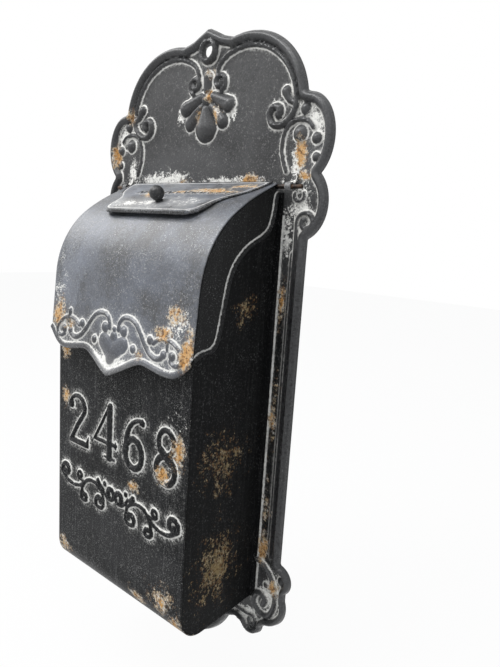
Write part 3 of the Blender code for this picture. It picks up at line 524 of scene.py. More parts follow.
@dataclass
class PressedSheet:
    """A sheet that is cut from the flat, pressed and bent.

    The extra is a height that is added, the border is how far a place lies inside the foot
    of a rolled edge, and the wash is the share of limewash that stays in the relief.
    """

    outline: list[Point]
    relief: Relief
    columns: np.ndarray
    rows: np.ndarray
    place: Place
    holes: list[list[Point]] = field(default_factory=list)
    flip: bool = False
    extra: Optional[Reading] = None
    border: Optional[Reading] = None
    wash: Optional[Reading] = None

    def flat(self) -> bmesh.types.BMesh:
        """Cut the sheet from the flat.

        Returns:
            The sheet as a grid at Z = 0 whose border lies on the outline and the holes.
        """
        bm = bmesh.new()
        across, down = len(self.columns), len(self.rows)
        bmesh.ops.create_grid(bm, x_segments=across - 1, y_segments=down - 1, size=1.0)
        sites = np.array([vert.co[:2] for vert in bm.verts])
        for axis, lines in enumerate((self.columns, self.rows)):
            shares = (sites[:, axis] + 1) / 2
            sites[:, axis] = np.interp(shares, np.linspace(0, 1, len(lines)), lines)
        for vert, site in zip(bm.verts, sites):
            vert.co = (site[0], site[1], 0)
        centres = np.array([face.calc_center_median()[:2] for face in bm.faces])
        kept = inside(centres, self.outline)
        for hole in self.holes:
            kept &= ~inside(centres, hole)
        waste = [face for face, keep in zip(bm.faces, kept) if not keep]
        bmesh.ops.delete(bm, geom=waste, context="FACES")
        border = [vert for vert in bm.verts if vert.is_boundary]
        places = np.array([vert.co[:2] for vert in border])
        best, _, target = nearest(places, self.outline, closed=True)
        for hole in self.holes:
            distance, _, point = nearest(places, hole, closed=True)
            closer = distance < best
            best = np.where(closer, distance, best)
            target = np.where(closer[:, None], point, target)
        for vert, point in zip(border, target):
            vert.co = (point[0], point[1], 0)
        return bm

    def build(self, name: str, finish: bpy.types.Material, body: str, slot: str,
              nodes: Iterable[str] = ()) -> bpy.types.Object:
        """Press, bend and dress the sheet, and give it its thickness.

        Args:
            name: the piece's name.
            finish: its material, which may read the attributes foot, crest and wash.
            body: the body that it rides on.
            slot: not used.
            nodes: the solids that it stands for.

        Returns:
            The finished object.
        """
        bm = self.flat()
        sites = np.array([vert.co[:2] for vert in bm.verts])
        height, foot, crest = self.relief.read(sites)
        if self.extra is not None:
            height = height + self.extra(sites)
        if self.border is not None:
            rolled = self.border(sites)
            foot = np.minimum(foot, rolled)
            crest = np.maximum(crest, np.clip(-rolled / FLAT_SHOULDER, 0, 1))
        wash = np.ones(len(sites)) if self.wash is None else self.wash(sites)
        for vert, point in zip(bm.verts, self.place(sites[:, 0], sites[:, 1], height)):
            vert.co = point
        if self.flip:
            bmesh.ops.reverse_faces(bm, faces=bm.faces)
        thing = finish_piece(name, bm, finish, body, nodes)
        for key, values in (("foot", foot), ("crest", crest), ("wash", wash)):
            set_attribute(thing, key, values)
        add_wall(thing)
        return thing


def rolled_strip(path: Line, x_from: float, x_to: float) -> bmesh.types.BMesh:
    """Extrude the middle surface of a strip that is bent in side view.

    Args:
        path: its (y, z) points.
        x_from: where it starts along X.
        x_to: where it ends.

    Returns:
        The open surface.
    """
    bm = bmesh.new()
    verts = [bm.verts.new((x_from, y, z)) for y, z in path]
    edges = [bm.edges.new(pair) for pair in zip(verts, verts[1:])]
    grown = bmesh.ops.extrude_edge_only(bm, edges=edges)
    moved = [item for item in grown["geom"] if isinstance(item, bmesh.types.BMVert)]
    bmesh.ops.translate(bm, vec=(x_to - x_from, 0, 0), verts=moved)
    bmesh.ops.recalc_face_normals(bm, faces=bm.faces)
    return bm


def turned(profile: Line, steps: int = 48) -> bmesh.types.BMesh:
    """Turn a solid about Z.

    Args:
        profile: its (radius, height) points, which start and end on the axis.
        steps: how many faces go round it.

    Returns:
        The closed solid.
    """
    bm = bmesh.new()
    corners = [bm.verts.new((radius, 0, height)) for radius, height in profile]
    edges = [bm.edges.new(pair) for pair in zip(corners, corners[1:])]
    bmesh.ops.spin(bm, geom=corners + edges, cent=(0, 0, 0), axis=(0, 0, 1), angle=2 * math.pi,
                   steps=steps, use_merge=True)
    bmesh.ops.remove_doubles(bm, verts=bm.verts, dist=1e-4)
    bmesh.ops.recalc_face_normals(bm, faces=bm.faces)
    return bm


def dress_node(name: str, material: bpy.types.Material) -> None:
    """Give a solid that stays its finish.

    Args:
        name: the solid's name.
        material: its finish.
    """
    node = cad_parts[name]
    node.data.materials.clear()
    node.data.materials.append(material)
    LOG.info("%s: kept, with %s", name, material.name)


# Finishes


Number = Union[float, "Signal"]


class Signal:
    """A shader socket that takes part in Python arithmetic."""

    def __init__(self, shop: "NodeShop", socket: bpy.types.NodeSocket) -> None:
        """Wrap a socket of the shop's tree."""
        self.shop = shop
        self.socket = socket

    def __add__(self, other: Number) -> "Signal":
        """Sum."""
        return self.shop.maths("ADD", self, other)

    __radd__ = __add__

    def __sub__(self, other: Number) -> "Signal":
        """Difference."""
        return self.shop.maths("SUBTRACT", self, other)

    def __rsub__(self, other: Number) -> "Signal":
        """Difference from a number."""
        return self.shop.maths("SUBTRACT", other, self)

    def __mul__(self, other: Number) -> "Signal":
        """Product."""
        return self.shop.maths("MULTIPLY", self, other)

    __rmul__ = __mul__

    def over(self, other: Number) -> "Signal":
        """The larger of two."""
        return self.shop.maths("MAXIMUM", self, other)


class NodeShop:
    """Makes the nodes of a new material, or of the world where one is given."""

    def __init__(self, name: str, world: Optional[bpy.types.World] = None) -> None:
        """Start a material, or take the world.

        Args:
            name: the new material's name.
            world: the world whose nodes are made instead.
        """
        self.owner = world or bpy.data.materials.new(name)
        self.owner.use_nodes = True
        self.tree = self.owner.node_tree
        self.coords = self.node("ShaderNodeTexCoord").outputs["Object"]

    @property
    def shader(self) -> bpy.types.Node:
        """The material's surface shader."""
        return self.tree.nodes["Principled BSDF"]

    def node(self, kind: str, settings: Optional[dict] = None,
             values: Optional[dict] = None) -> bpy.types.Node:
        """Make a node.

        Args:
            kind: its type.
            settings: its own settings, which are set first.
            values: the values or links of its sockets, by their name or number.

        Returns:
            The node.
        """
        made = self.tree.nodes.new(kind)
        for key, value in (settings or {}).items():
            setattr(made, key, value)
        for key, value in (values or {}).items():
            self.feed(made.inputs[key], value)
        return made

    def feed(self, socket: bpy.types.NodeSocket, value: object) -> None:
        """Link a socket, or set its plain value.

        Args:
            socket: the input.
            value: a signal, an output socket, or a value that the input takes.
        """
        if isinstance(value, Signal):
            value = value.socket
        if isinstance(value, bpy.types.NodeSocket):
            self.tree.links.new(value, socket)
        else:
            socket.default_value = value

    def maths(self, operation: str, first: Number, second: Number) -> Signal:
        """A Math node."""
        made = self.node("ShaderNodeMath", {"operation": operation}, {0: first, 1: second})
        return Signal(self, made.outputs[0])

    def steps(self, value: Number, low: float, high: float) -> Signal:
        """Make a smooth step.

        Args:
            value: what is read.
            low: where the step is still 0.
            high: where it has reached 1.

        Returns:
            The step's height.
        """
        made = self.node("ShaderNodeMapRange", {"interpolation_type": "SMOOTHSTEP"},
                         {"Value": value, "From Min": low, "From Max": high})
        return Signal(self, made.outputs["Result"])

    def noise(self, grain: Grain, scale: Optional[float] = None,
              stretch: tuple[float, float, float] = (1.0, 1.0, 1.0)) -> Signal:
        """Make one of the finishes' noises.

        Args:
            grain: which one.
            scale: its waves a metre, where a finish has its own.
            stretch: the share of the waves along each axis, below 1 where it is drawn out.

        Returns:
            The noise, about 0.5 in the middle.
        """
        usual, detail, roughness, shift = grain.value
        placing = {"Vector": self.coords, "Location": (shift, shift, shift), "Scale": stretch}
        where = self.node("ShaderNodeMapping", {"vector_type": "POINT"}, placing)
        made = self.node("ShaderNodeTexNoise", {"noise_dimensions": "3D"},
                         {"Vector": where.outputs[0], "Scale": scale or usual, "Detail": detail,
                          "Roughness": roughness})
        return Signal(self, made.outputs["Fac"])

    def shown(self) -> Signal:
        """Tell where the surround is seen.

        Returns:
            1 for the camera's own rays and for those of a gloss or a glass, else 0.
        """
        path = self.node("ShaderNodeLightPath")
        camera, gloss, glass = (Signal(self, path.outputs[f"Is {kind} Ray"])
                                for kind in ("Camera", "Glossy", "Transmission"))
        return camera.over(gloss).over(glass)

    def attribute(self, name: str) -> Signal:
        """A number stored on the piece's vertices."""
        values = {"attribute_name": name, "attribute_type": "GEOMETRY"}
        return Signal(self, self.node("ShaderNodeAttribute", values).outputs["Fac"])

    def mix(self, factor: Number, first: object, second: object) -> bpy.types.NodeSocket:
        """A blend of two colours."""
        values = {"Factor": factor, 6: self.color(first), 7: self.color(second)}
        return self.node("ShaderNodeMix", {"data_type": "RGBA"}, values).outputs[2]

    @staticmethod
    def color(value: object) -> object:
        """A named colour's four numbers, or else what was given."""
        return (*value.value, 1.0) if isinstance(value, Rgb) else value

    def blot(self, patch: "Patch", ragged: Signal) -> Signal:
        """Measure how deep a place lies in a ragged patch.

        Args:
            patch: the patch.
            ragged: what breaks its edge up.

        Returns:
            0 at its edge, and its weight in its middle.
        """
        centre = tuple(c * MM for c in patch.centre)
        radii = tuple(r * MM for r in patch.radii)
        offset = self.vector("SUBTRACT", self.coords, centre)
        scaled = self.vector("DIVIDE", offset.outputs[0], radii)
        length = self.vector("LENGTH", scaled.outputs[0])
        return (1.0 - Signal(self, length.outputs["Value"])) * patch.weight + ragged

    def vector(self, operation: str, *values: object) -> bpy.types.Node:
        """A Vector Math node."""
        return self.node("ShaderNodeVectorMath", {"operation": operation}, dict(enumerate(values)))

    def bump(self, skin: Number, strength: float, depth: float) -> None:
        """Roughen the surface.

        Args:
            skin: its height, from about 0 to 1.
            strength: the share of it that shows.
            depth: what a height of 1 is in metres.
        """
        values = {"Strength": strength, "Distance": depth, "Height": skin}
        made = self.node("ShaderNodeBump", None, values)
        self.feed(self.shader.inputs["Normal"], made.outputs[0])


@dataclass(frozen=True)
class Patch:
    """A named place of wear: its centre and reach in millimetres."""

    centre: tuple[float, float, float]
    radii: tuple[float, float, float]
    weight: float = 1.0

    def pair(self) -> "tuple[Patch, Patch]":
        """The patch and its mirror image on the other side of X = 0."""
        x, y, z = self.centre
        return self, replace(self, centre=(-x, y, z))


@dataclass(frozen=True)
class Tint:
    """A soft-edged place where the paint has another tone; most are painted shade or painted
    highlights.
    """

    patch: Patch
    tone: Rgb
    share: float = 0.8


@dataclass(frozen=True)
class OldPaint:
    """Black paint that has gone grey, with limewash in its relief and rust in patches.

    The shares run from 0 to 1. The glow is how far in millimetres the lime is dusted round a
    raised line, the brush is the stretch of the streaks, and the scatter is how far the rust
    breaks up into flecks.
    """

    name: str
    dark: Rgb = Rgb.BLACK
    light: Rgb = Rgb.CHARCOAL
    rubbed: Rgb = Rgb.SLATE
    rubbed_share: float = 0.5
    specks: float = 0.5
    speck_scale: Optional[float] = None
    streaks: float = 0.0
    brush: tuple[float, float, float] = (1.0, 1.0, 0.035)
    crests: float = 0.5
    crest_tone: Rgb = Rgb.BLACK
    # Soft patches of another tone, most of them painted shade or painted highlights
    tints: tuple[Tint, ...] = ()
    wash: float = 1.0
    glow: float = 3.0
    roughness: float = 0.5
    sheen: float = 0.25
    lime: tuple[Patch, ...] = ()
    rust: tuple[Patch, ...] = ()
    rust_tones: tuple[Rgb, Rgb, Rgb] = (Rgb.RUST, Rgb.CREAM, Rgb.LIME)
    scatter: float = 1.5
    bump_strength: float = 0.5
    bump_depth: float = 0.0005

    def _patches(self, shop: NodeShop, patches: tuple[Patch, ...], ragged: Signal) -> Signal:
        """Measure the deepest of some patches.

        Args:
            shop: the material's shop.
            patches: the patches, one at least.
            ragged: what breaks their edges up.

        Returns:
            The depth at each place.
        """
        depth = shop.blot(patches[0], ragged)
        for patch in patches[1:]:
            depth = shop.blot(patch, ragged).over(depth)
        return depth

    def _paint(self, shop: NodeShop, clouds: Signal, grain: Signal,
               crest: Signal) -> bpy.types.NodeSocket:
        """Colour the paint itself: clouded, rubbed, tinted with painted shade and painted
        highlights in places, streaked and finely speckled.

        Args:
            shop: the material's shop.
            clouds: its slow noise.
            grain: its fine noise.
            crest: how near a place lies to a raised line's crest.

        Returns:
            The colour.
        """
        mottle = shop.noise(Grain.MOTTLE)
        cloudy = shop.steps(clouds + (mottle - 0.5) * 0.5, 0.3, 0.72)
        paint = shop.mix(cloudy, self.dark, self.light)
        worn = shop.steps(shop.noise(Grain.WEAR) + (grain - 0.5) * 0.8, 0.4, 0.76)
        paint = shop.mix(worn * self.rubbed_share, paint, self.rubbed)
        # Lay the tints: painted shade and painted highlights in soft patches
        for tint in self.tints:
            ragged = (clouds - 0.5) * 1.2 + (grain - 0.5) * 0.5
            here = shop.steps(shop.blot(tint.patch, ragged), 0.0, 0.6)
            paint = shop.mix(here * tint.share, paint, tint.tone)
        if self.streaks:
            lines = shop.noise(Grain.BRUSH, stretch=self.brush)
            drawn = shop.steps(lines + (grain - 0.5) * 0.3, 0.5, 0.76)
            paint = shop.mix(drawn * self.streaks, paint, Rgb.ASH)
        # The crest tone: dark where raised lines are bare of lime; where it is lighter, it is
        # partly wear and partly a painted highlight
        touched = crest * self.crests * shop.steps(grain, 0.3, 0.55)
        paint = shop.mix(touched, paint, self.crest_tone)
        specks = shop.steps(shop.noise(Grain.SPECKS, self.speck_scale), 0.57, 0.69)
        fields = shop.steps(shop.noise(Grain.SPECK_FIELDS), 0.34, 0.64) + 0.3
        share = self.specks * (1.0 - crest * 0.35)
        return shop.mix(specks * fields * share, paint, Rgb.ASH)

    def _limewash(self, shop: NodeShop, broken: Signal, crest: Signal) -> Signal:
        """Lay lime as a thin broken line at each foot, dusted round it, and in blooms.

        Args:
            shop: the material's shop.
            broken: what breaks the lime up.
            crest: how near a place lies to a raised line's crest.

        Returns:
            The share of lime at each place.
        """
        outside = shop.attribute("foot")
        foot = outside + (shop.noise(Grain.LIME_EDGE) - 0.5) * 1.7
        uneven = shop.steps(shop.noise(Grain.LIME_BODY), 0.3, 0.6)
        line = 1.0 - shop.steps(shop.maths("ABSOLUTE", foot - 0.5, 0.0), 0.35, 0.85)
        dust = shop.steps(shop.noise(Grain.LIME_DUST), 0.49, 0.58)
        fading = 1.0 - shop.steps(foot, -0.4, self.glow)
        glow = shop.steps(foot, -0.4, 0.3) * fading * fading * (0.2 + 0.8 * uneven)
        thin = line * (0.45 + 0.3 * broken + 0.25 * uneven)
        lime = thin.over(glow * (0.06 + 0.94 * dust))
        lime = lime * shop.attribute("wash") * self.wash
        if self.lime:
            ragged = (shop.noise(Grain.LIME_RIM) - 0.5) * 2.4
            bloom = shop.steps(self._patches(shop, self.lime, ragged), 0.1, 0.85)
            flaky = bloom + (dust - 0.5) * 0.6 + (broken - 0.5) * 0.35
            lime = lime.over(shop.steps(flaky, 0.36, 0.95))
        return lime * shop.steps(outside, -1.1, -0.1) * (1.0 - crest * 0.5)

    def _rusted(self, shop: NodeShop,
                paint: bpy.types.NodeSocket) -> tuple[bpy.types.NodeSocket, Signal]:
        """Let rust break through the paint, with a pale rind and dark pits.

        Args:
            shop: the material's shop.
            paint: the colour that it breaks through.

        Returns:
            The new colour, and the share of rust at each place.
        """
        ragged = (shop.noise(Grain.RUST_RIM) - 0.5) * 3.4
        flecks = (shop.noise(Grain.RUST_FLECKS) - 0.5) * self.scatter
        depth = self._patches(shop, self.rust, ragged + flecks)
        halo = shop.steps(depth, 0.22, 0.6)
        rust = shop.steps(depth, 0.5, 0.8)
        tones = shop.steps(shop.noise(Grain.RUST_TONES), 0.4, 0.66)
        deep, pale, rind = self.rust_tones
        paint = shop.mix(halo * 0.85, paint, shop.mix(tones, pale, rind))
        paint = shop.mix(rust, paint, shop.mix(tones, deep, shop.mix(0.5, deep, pale)))
        pits = shop.steps(shop.noise(Grain.RUST_PITS), 0.5, 0.58)
        dark = shop.steps(depth, 0.05, 0.35) * pits * 0.85
        return shop.mix(dark, paint, Rgb.DARK_RUST), rust

    def make(self) -> bpy.types.Material:
        """Build the material's nodes.

        Returns:
            The material.
        """
        shop = NodeShop(self.name)
        clouds = shop.noise(Grain.CLOUDS)
        grain = shop.noise(Grain.FINE)
        broken = shop.steps(shop.noise(Grain.BREAKS), 0.36, 0.58)
        crest = shop.attribute("crest")
        paint = self._paint(shop, clouds, grain, crest)
        lime = self._limewash(shop, broken, crest)
        paint = shop.mix(lime, paint, Rgb.LIME)
        rust: Number = 0.0
        if self.rust:
            paint, rust = self._rusted(shop, paint)
        rough = self.roughness + (clouds - 0.5) * 0.25 + lime * 0.25 + rust * 0.3 - crest * 0.12
        shop.feed(shop.shader.inputs["Base Color"], paint)
        shop.feed(shop.shader.inputs["Roughness"], rough)
        shop.shader.inputs["Specular IOR Level"].default_value = self.sheen
        skin = grain * 0.8 + lime * 0.45 + rust * grain * 1.5
        shop.bump(skin, self.bump_strength, self.bump_depth)
        return shop.owner


@dataclass(frozen=True)
class BareMetal:
    """Dull steel wire and fasteners, browned by rust."""

    name: str
    color: Rgb = Rgb.STEEL
    rusted: float = 0.6
    roughness: float = 0.42
    metallic: float = 0.75
    bump_strength: float = 0.4
    bump_depth: float = 0.0002

    def make(self) -> bpy.types.Material:
        """Build the material's nodes.

        Returns:
            The material.
        """
        shop = NodeShop(self.name)
        grain = shop.noise(Grain.STEEL_GRAIN)
        brown = shop.steps(shop.noise(Grain.STEEL_BROWN), 0.42, 0.62) * self.rusted
        paint = shop.mix(shop.steps(grain, 0.35, 0.7), self.color, Rgb.BLACK)
        rough = self.roughness + brown * 0.4 + (grain - 0.5) * 0.2
        shop.feed(shop.shader.inputs["Base Color"], shop.mix(brown, paint, Rgb.DARK_RUST))
        shop.feed(shop.shader.inputs["Roughness"], rough)
        shop.feed(shop.shader.inputs["Metallic"], self.metallic * (1.0 - brown))
        shop.bump(grain, self.bump_strength, self.bump_depth)
        return shop.owner


# Back plate


@dataclass
class BackPlate:
    """The stamped plate that hangs on the wall, with its rim, ears, hips and palmette."""

    rim_radius: float = 4.2
    rim_slim: float = 2.9
    rim_height: float = 5.5
    rim_power: float = 0.8
    slim_below: float = 20.0
    slim_run: float = 30.0
    lobe_radius: float = 61.3
    lobe_inset: float = 70.0
    ridge_offset: float = 10.6
    ridge_reach: float = 5.0
    ring_radius: float = 7.7
    hole_radius: float = 4.6
    flange: float = 6.0
    flange_drop: float = 20.0
    wash_between: float = 0.12
    wash_strip: float = 0.5
    strip_ends: tuple[float, float] = (42.0, 60.0)
    strip_inset: float = 9.0
    ear_reach: float = 17.0
    strip_width: float = 18.0
    column_steps: tuple[float, ...] = (1.1, 1.45, 1.1)
    row_marks: tuple[float, ...] = (-279.0, -155.0, 92.0, 277.0)
    row_steps: tuple[float, ...] = (1.35, 8.0, 1.35)

    def outline(self) -> list[Point]:
        """Draw the plate's edge.

        Returns:
            The loop, from the crest over the right side to the apron and back up the left.
        """
        side, top, foot, hinge = PLATE_HALF, PLATE_TOP_Z, BOX_FLOOR_Z, HINGE[1]
        crest = smooth_curve([(0, top), (7, top - 3.2), (16, top - 7.6)])
        lobe = arc((side - self.lobe_inset, top - self.lobe_inset), self.lobe_radius, 104, 10.4)
        ear = arc((side - 8.5, hinge + 36), (24.8, 33.0), 86, -50)
        hip = arc((side - 9, hinge - 11.5), (24.5, 29.0), 49, -68)
        straight = [(side, hinge - 47), (side, foot + 45)]
        knee = arc((side - 2, foot + 30), 14.0, 78, -48)
        heel = arc((side - 14, foot + 4.5), 23.0, 22, -78)
        toe = arc((side - 25.5, foot - 21.5), 12.0, -4, -150)
        notch = [(side - 42, foot - 25.5)]
        apron = arc((0, foot - 3.5), 66.0, -24, -90)
        upper = crest + lobe + ear + hip + straight
        return closed_outline(upper + knee + heel + toe + notch + apron)

    def ear(self) -> list[Stroke]:
        """Draw what is pressed into the right ear and hip.

        Returns:
            A volute with its curl, the ear's own arc, the hip's scroll, and the domes between.
        """
        side, hinge = PLATE_HALF, HINGE[1]
        volute = smooth_curve([
            (side - 19.3, hinge + 60.5), (side - 21, hinge + 55), (side - 26.1, hinge + 49.5),
            (side - 33.4, hinge + 46.2), (side - 41, hinge + 48.5), (side - 43.6, hinge + 55.5),
            (side - 39.5, hinge + 60.6), (side - 34, hinge + 58.5), (side - 35, hinge + 54),
        ])
        curl = smooth_curve([
            (side - 20, hinge + 61), (side - 25.6, hinge + 65), (side - 29.5, hinge + 71),
        ])
        divider = smooth_curve([
            (side - 24.5, hinge + 12.0), (side - 28, hinge + 20), (side - 30, hinge + 30),
            (side - 28.5, hinge + 40), (side - 23.5, hinge + 47), (side - 15, hinge + 49.8),
            (side - 7, hinge + 48), (side - 2.5, hinge + 43.5),
        ])
        hip = [(side - 10.5, hinge - 45)]
        hip += spiral((side - 2.5, hinge - 26), 8.5, 2.5, 190, -430)
        cusp = arc((side - 10.5, hinge - 6), 4.6, 165, 390, step=1.2)
        return [
            stroke(volute, 2.5, 4.2, 3.4, 5.0),
            stroke(curl, 1.8, 3.0, 4.4, 4.6),
            stroke(divider, 1.8, 2.6, 2.2, 3.2),
            stroke(hip, 1.9, 2.6, 2.8, 3.6),
            stroke(cusp, 1.5, 2.0),
            boss((side - 14, hinge + 39.5), 6.4, 4.8),
            boss((side - 10.5, hinge + 57), 4.8, 4.2),
            boss((side + 1, hinge + 35.6), 4.6, 4.0),
            boss((side + 1.5, hinge + 22), 3.6, 3.0),
        ]

    def corner(self) -> list[Stroke]:
        """Draw what is pressed into the right bottom corner.

        Returns:
            A large scroll, a small curl below it, and two domes.
        """
        side, foot = PLATE_HALF, BOX_FLOOR_Z
        scroll = smooth_curve([
            (side - 25, foot + 39), (side - 18, foot + 37), (side - 9.5, foot + 30),
            (side - 4, foot + 18), (side - 3, foot + 5), (side - 7.5, foot - 7.5),
            (side - 15.5, foot - 10), (side - 22.5, foot - 5.5), (side - 24.8, foot + 0.5),
            (side - 22.5, foot + 6.8), (side - 16.5, foot + 9), (side - 12.5, foot + 5),
            (side - 14.5, foot - 0.5),
        ])
        curl = [(side - 46, foot - 17)]
        curl += spiral((side - 26, foot - 21.8), 5.8, 2.0, 125, -330)
        return [
            stroke(scroll, 2.2, 3.4, 3.0, 4.2),
            stroke(curl, 1.7, 3.0, 2.4, 3.6),
            boss((side + 2.5, foot + 29), 4.2, 3.4),
            boss((side - 13, foot + 18.5), 3.0, 2.8),
        ]

    def palmette(self) -> list[Stroke]:
        """Draw the palmette under the hanging hole, and the raised ring round the hole.

        Returns:
            The leaves with their veins, the two curls above them, and the ring.
        """
        hole, vein = HOLE_Z, (0.8, 0.7, 1.1, 0.8, Profile.GROOVE)
        sides = both_sides([
            stroke([(7, hole - 36), (16, hole - 40), (25, hole - 44)], 4.2, 4.0, 7.0, 5.4),
            stroke([(6, hole - 44), (13, hole - 50), (19, hole - 57)], 3.6, 4.0, 6.4, 5.2),
            stroke(spiral((14, hole - 25.6), 7.2, 2.2, -75, 420), 2.2, 3.4, 2.8, 4.4),
            stroke([(9, hole - 39), (24, hole - 43.5)], *vein),
            stroke([(8, hole - 47), (18, hole - 56.5)], *vein),
        ])
        middle = [
            stroke([(0, hole - 46), (0, hole - 61)], 4.6, 5.0, 12.6, 7.0),
            stroke([(0, hole - 20), (0, hole - 31)], 5.0, 5.0, 4.2, 4.4),
            boss((0, hole - 39), 5.4, 5.6),
        ]
        ring = arc((0, hole), self.ring_radius, 0, 360, step=1.2)
        return middle + sides + [stroke(ring, 3.1, 5.6)]

    def ridges(self) -> list[Stroke]:
        """Draw the ridges inside the rim, round the right lobe and down the right side.

        Returns:
            The lobe's ridge with its neck at the hole, two straight ridges and two grooves.
        """
        side, low, high = PLATE_HALF, BOX_FLOOR_Z + 46, HINGE[1] - 47
        centre = (side - self.lobe_inset, PLATE_TOP_Z - self.lobe_inset)
        lobe = arc(centre, self.lobe_radius - self.ridge_offset, 114, 2)
        neck = smooth_curve([
            (10.2, HOLE_Z - 21), (11.8, HOLE_Z - 15), (15.2, HOLE_Z - 9.8), lobe[0],
        ])
        inner, fine = side - self.ridge_offset, side - self.ridge_offset - 3.4
        grooves = [stroke([(x, high - 8), (x, low + 8)], 1.0, 1.1, profile=Profile.GROOVE)
                   for x in (side - 6.6, side - 3.0)]
        return [
            stroke(neck[:-1] + lobe, 2.2, 3.2),
            stroke([(inner, high), (inner, low)], 1.6, 2.6),
            stroke([(fine, high - 3), (fine, low + 3)], 0.9, 1.1),
            *grooves,
        ]

    def relief(self) -> Relief:
        """All that is pressed into the plate inside its rim."""
        right = self.ear() + self.corner() + self.ridges()
        return Relief(both_sides(right) + self.palmette())

    def from_edge(self, sites: np.ndarray) -> np.ndarray:
        """The distance from each site to the plate's edge."""
        return nearest(sites, self.outline(), closed=True)[0]

    def rim_at(self, sites: np.ndarray) -> np.ndarray:
        """Half the rim's width, which is slimmer round the foot."""
        above = np.clip((sites[:, 1] - BOX_FLOOR_Z - self.slim_below) / self.slim_run, 0, 1)
        return self.rim_radius + (self.rim_slim - self.rim_radius) * (1 - above)

    def rim(self, sites: np.ndarray) -> np.ndarray:
        """Work out what the rolled rim adds to the pressed relief.

        Args:
            sites: flat coordinates in millimetres, one row a site.

        Returns:
            The height that is added at each site.
        """
        from_edge = self.from_edge(sites)
        rolled = rolled_edge(from_edge, self.rim_at(sites), self.rim_height, self.rim_power)
        pressed = self.relief().read(sites)[0]
        return np.maximum(rolled - np.maximum(pressed, 0), 0)

    def rim_foot(self, sites: np.ndarray) -> np.ndarray:
        """Measure how far inside the rim's foot, or from the box's flange, each site lies.

        Args:
            sites: flat coordinates in millimetres, one row a site.

        Returns:
            The smaller of the two distances.
        """
        flange = np.abs(np.abs(sites[:, 0]) - BOX_HALF - self.flange)
        flange = np.where(sites[:, 1] < HINGE[1] - self.flange_drop, flange, FAR)
        return np.minimum(self.from_edge(sites) - 2 * self.rim_at(sites), flange)

    def washed(self, sites: np.ndarray) -> np.ndarray:
        """Work out how much limewash stays in the relief.

        Args:
            sites: flat coordinates in millimetres, one row a site.

        Returns:
            Little between rim and ridge, half on the strips beside the box, else all of it.
        """
        raised = [one for one in both_sides(self.ridges()) if one.profile is Profile.ROUND]
        ridge = np.min([nearest(sites, one.points)[0] for one in raised], axis=0)
        between = (self.from_edge(sites) < self.ridge_offset) & (ridge < self.ridge_reach)
        x, z = np.abs(sites[:, 0]), sites[:, 1]
        low, high = BOX_FLOOR_Z + self.strip_ends[0], HINGE[1] - self.strip_ends[1]
        strip = (z > low) & (z < high) & (x > BOX_HALF + self.strip_inset)
        return np.where(between, self.wash_between, np.where(strip, self.wash_strip, 1.0))

    @staticmethod
    def raised(x: np.ndarray, z: np.ndarray, height: np.ndarray) -> np.ndarray:
        """Stand the flat sheet upright, with its relief towards the viewer."""
        return np.stack([x, -SHEET - height, z], axis=1)

    def paint(self) -> bpy.types.Material:
        """Mix the plate's finish.

        Returns:
            Charcoal paint, with painted shade on the strips beside the box, a painted highlight on
            the right rim, crests lighter partly from wear and partly as a painted highlight, lime
            over the hinge and rust in the ears.
        """
        # Painted shade on the plate's strips beside the box, on both sides
        shade_beside_box = Patch((106, 0, -52), (34, 40, 156), 2.0)
        return OldPaint(
            "plate_paint", Rgb.CHARCOAL, Rgb.GRAPHITE, Rgb.SLATE, rubbed_share=0.4, specks=0.28,
            # The crests are a lighter slate, partly wear and partly a painted highlight
            glow=4.6, roughness=0.4, sheen=0.3, crests=0.55, crest_tone=Rgb.SLATE,
            lime=(
                Patch((-50, 0, 152), (50, 30, 15), 1.4), Patch((34, 0, 150), (66, 30, 9), 1.3),
                *Patch((92, 0, 112), (11, 30, 26), 0.9).pair(),
                Patch((-31, 0, 208), (9, 30, 10), 1.0), Patch((29, 0, 210), (7, 30, 16), 1.0),
                Patch((74, 0, 166), (10, 30, 22), 0.5), Patch((84, 0, 214), (14, 30, 16), 0.45),
                Patch((-84, 0, 206), (14, 30, 20), 0.45),
                *Patch((104, 0, 132), (13, 30, 30), 1.1).pair(),
                *Patch((112, 0, 194), (14, 30, 24), 1.0).pair(),
                Patch((96, 0, 165), (8, 30, 24), 1.0), Patch((-96, 0, 165), (8, 30, 24), 0.9),
                *Patch((104, 0, -196), (22, 30, 28), 1.0).pair(),
                *Patch((80, 0, -228), (20, 30, 14), 1.1).pair(),
            ),
            tints=(
                *(Tint(patch, Rgb.SOOT, 0.95) for patch in shade_beside_box.pair()),
                # Painted highlight on the right rim by the ear
                Tint(Patch((112, 0, 176), (24, 40, 44), 1.0), Rgb.SLATE, 0.8),
                Tint(Patch((-10, 0, 165), (80, 40, 24), 1.0), Rgb.SLATE, 0.5),
            ),
            rust=(
                Patch((99, 0, 172), (7, 20, 15), 1.5), Patch((104, 0, 156), (8, 20, 6), 1.3),
                Patch((-118, 0, 178), (8, 20, 14), 1.3), Patch((-96, 0, 212), (7, 20, 10), 1.0),
                Patch((4, 0, 222), (5, 20, 6), 1.1), Patch((14, 0, 206), (5, 20, 12), 1.1),
                Patch((-7, 0, 206), (4, 20, 12), 1.0), Patch((2, 0, 240), (9, 20, 5), 0.8),
                Patch((52, 0, 153), (16, 20, 6), 1.2), Patch((-26, 0, 152), (10, 20, 5), 0.9),
                Patch((92, 0, 58), (5, 20, 24), 0.8), Patch((92, 0, -40), (5, 20, 34), 0.6),
                Patch((92, 0, -120), (5, 20, 30), 0.65), Patch((92, 0, -158), (8, 20, 16), 1.3),
                Patch((107, 0, -188), (7, 20, 9), 1.2), Patch((-92, 0, -60), (5, 20, 30), 0.8),
            ),
        ).make()

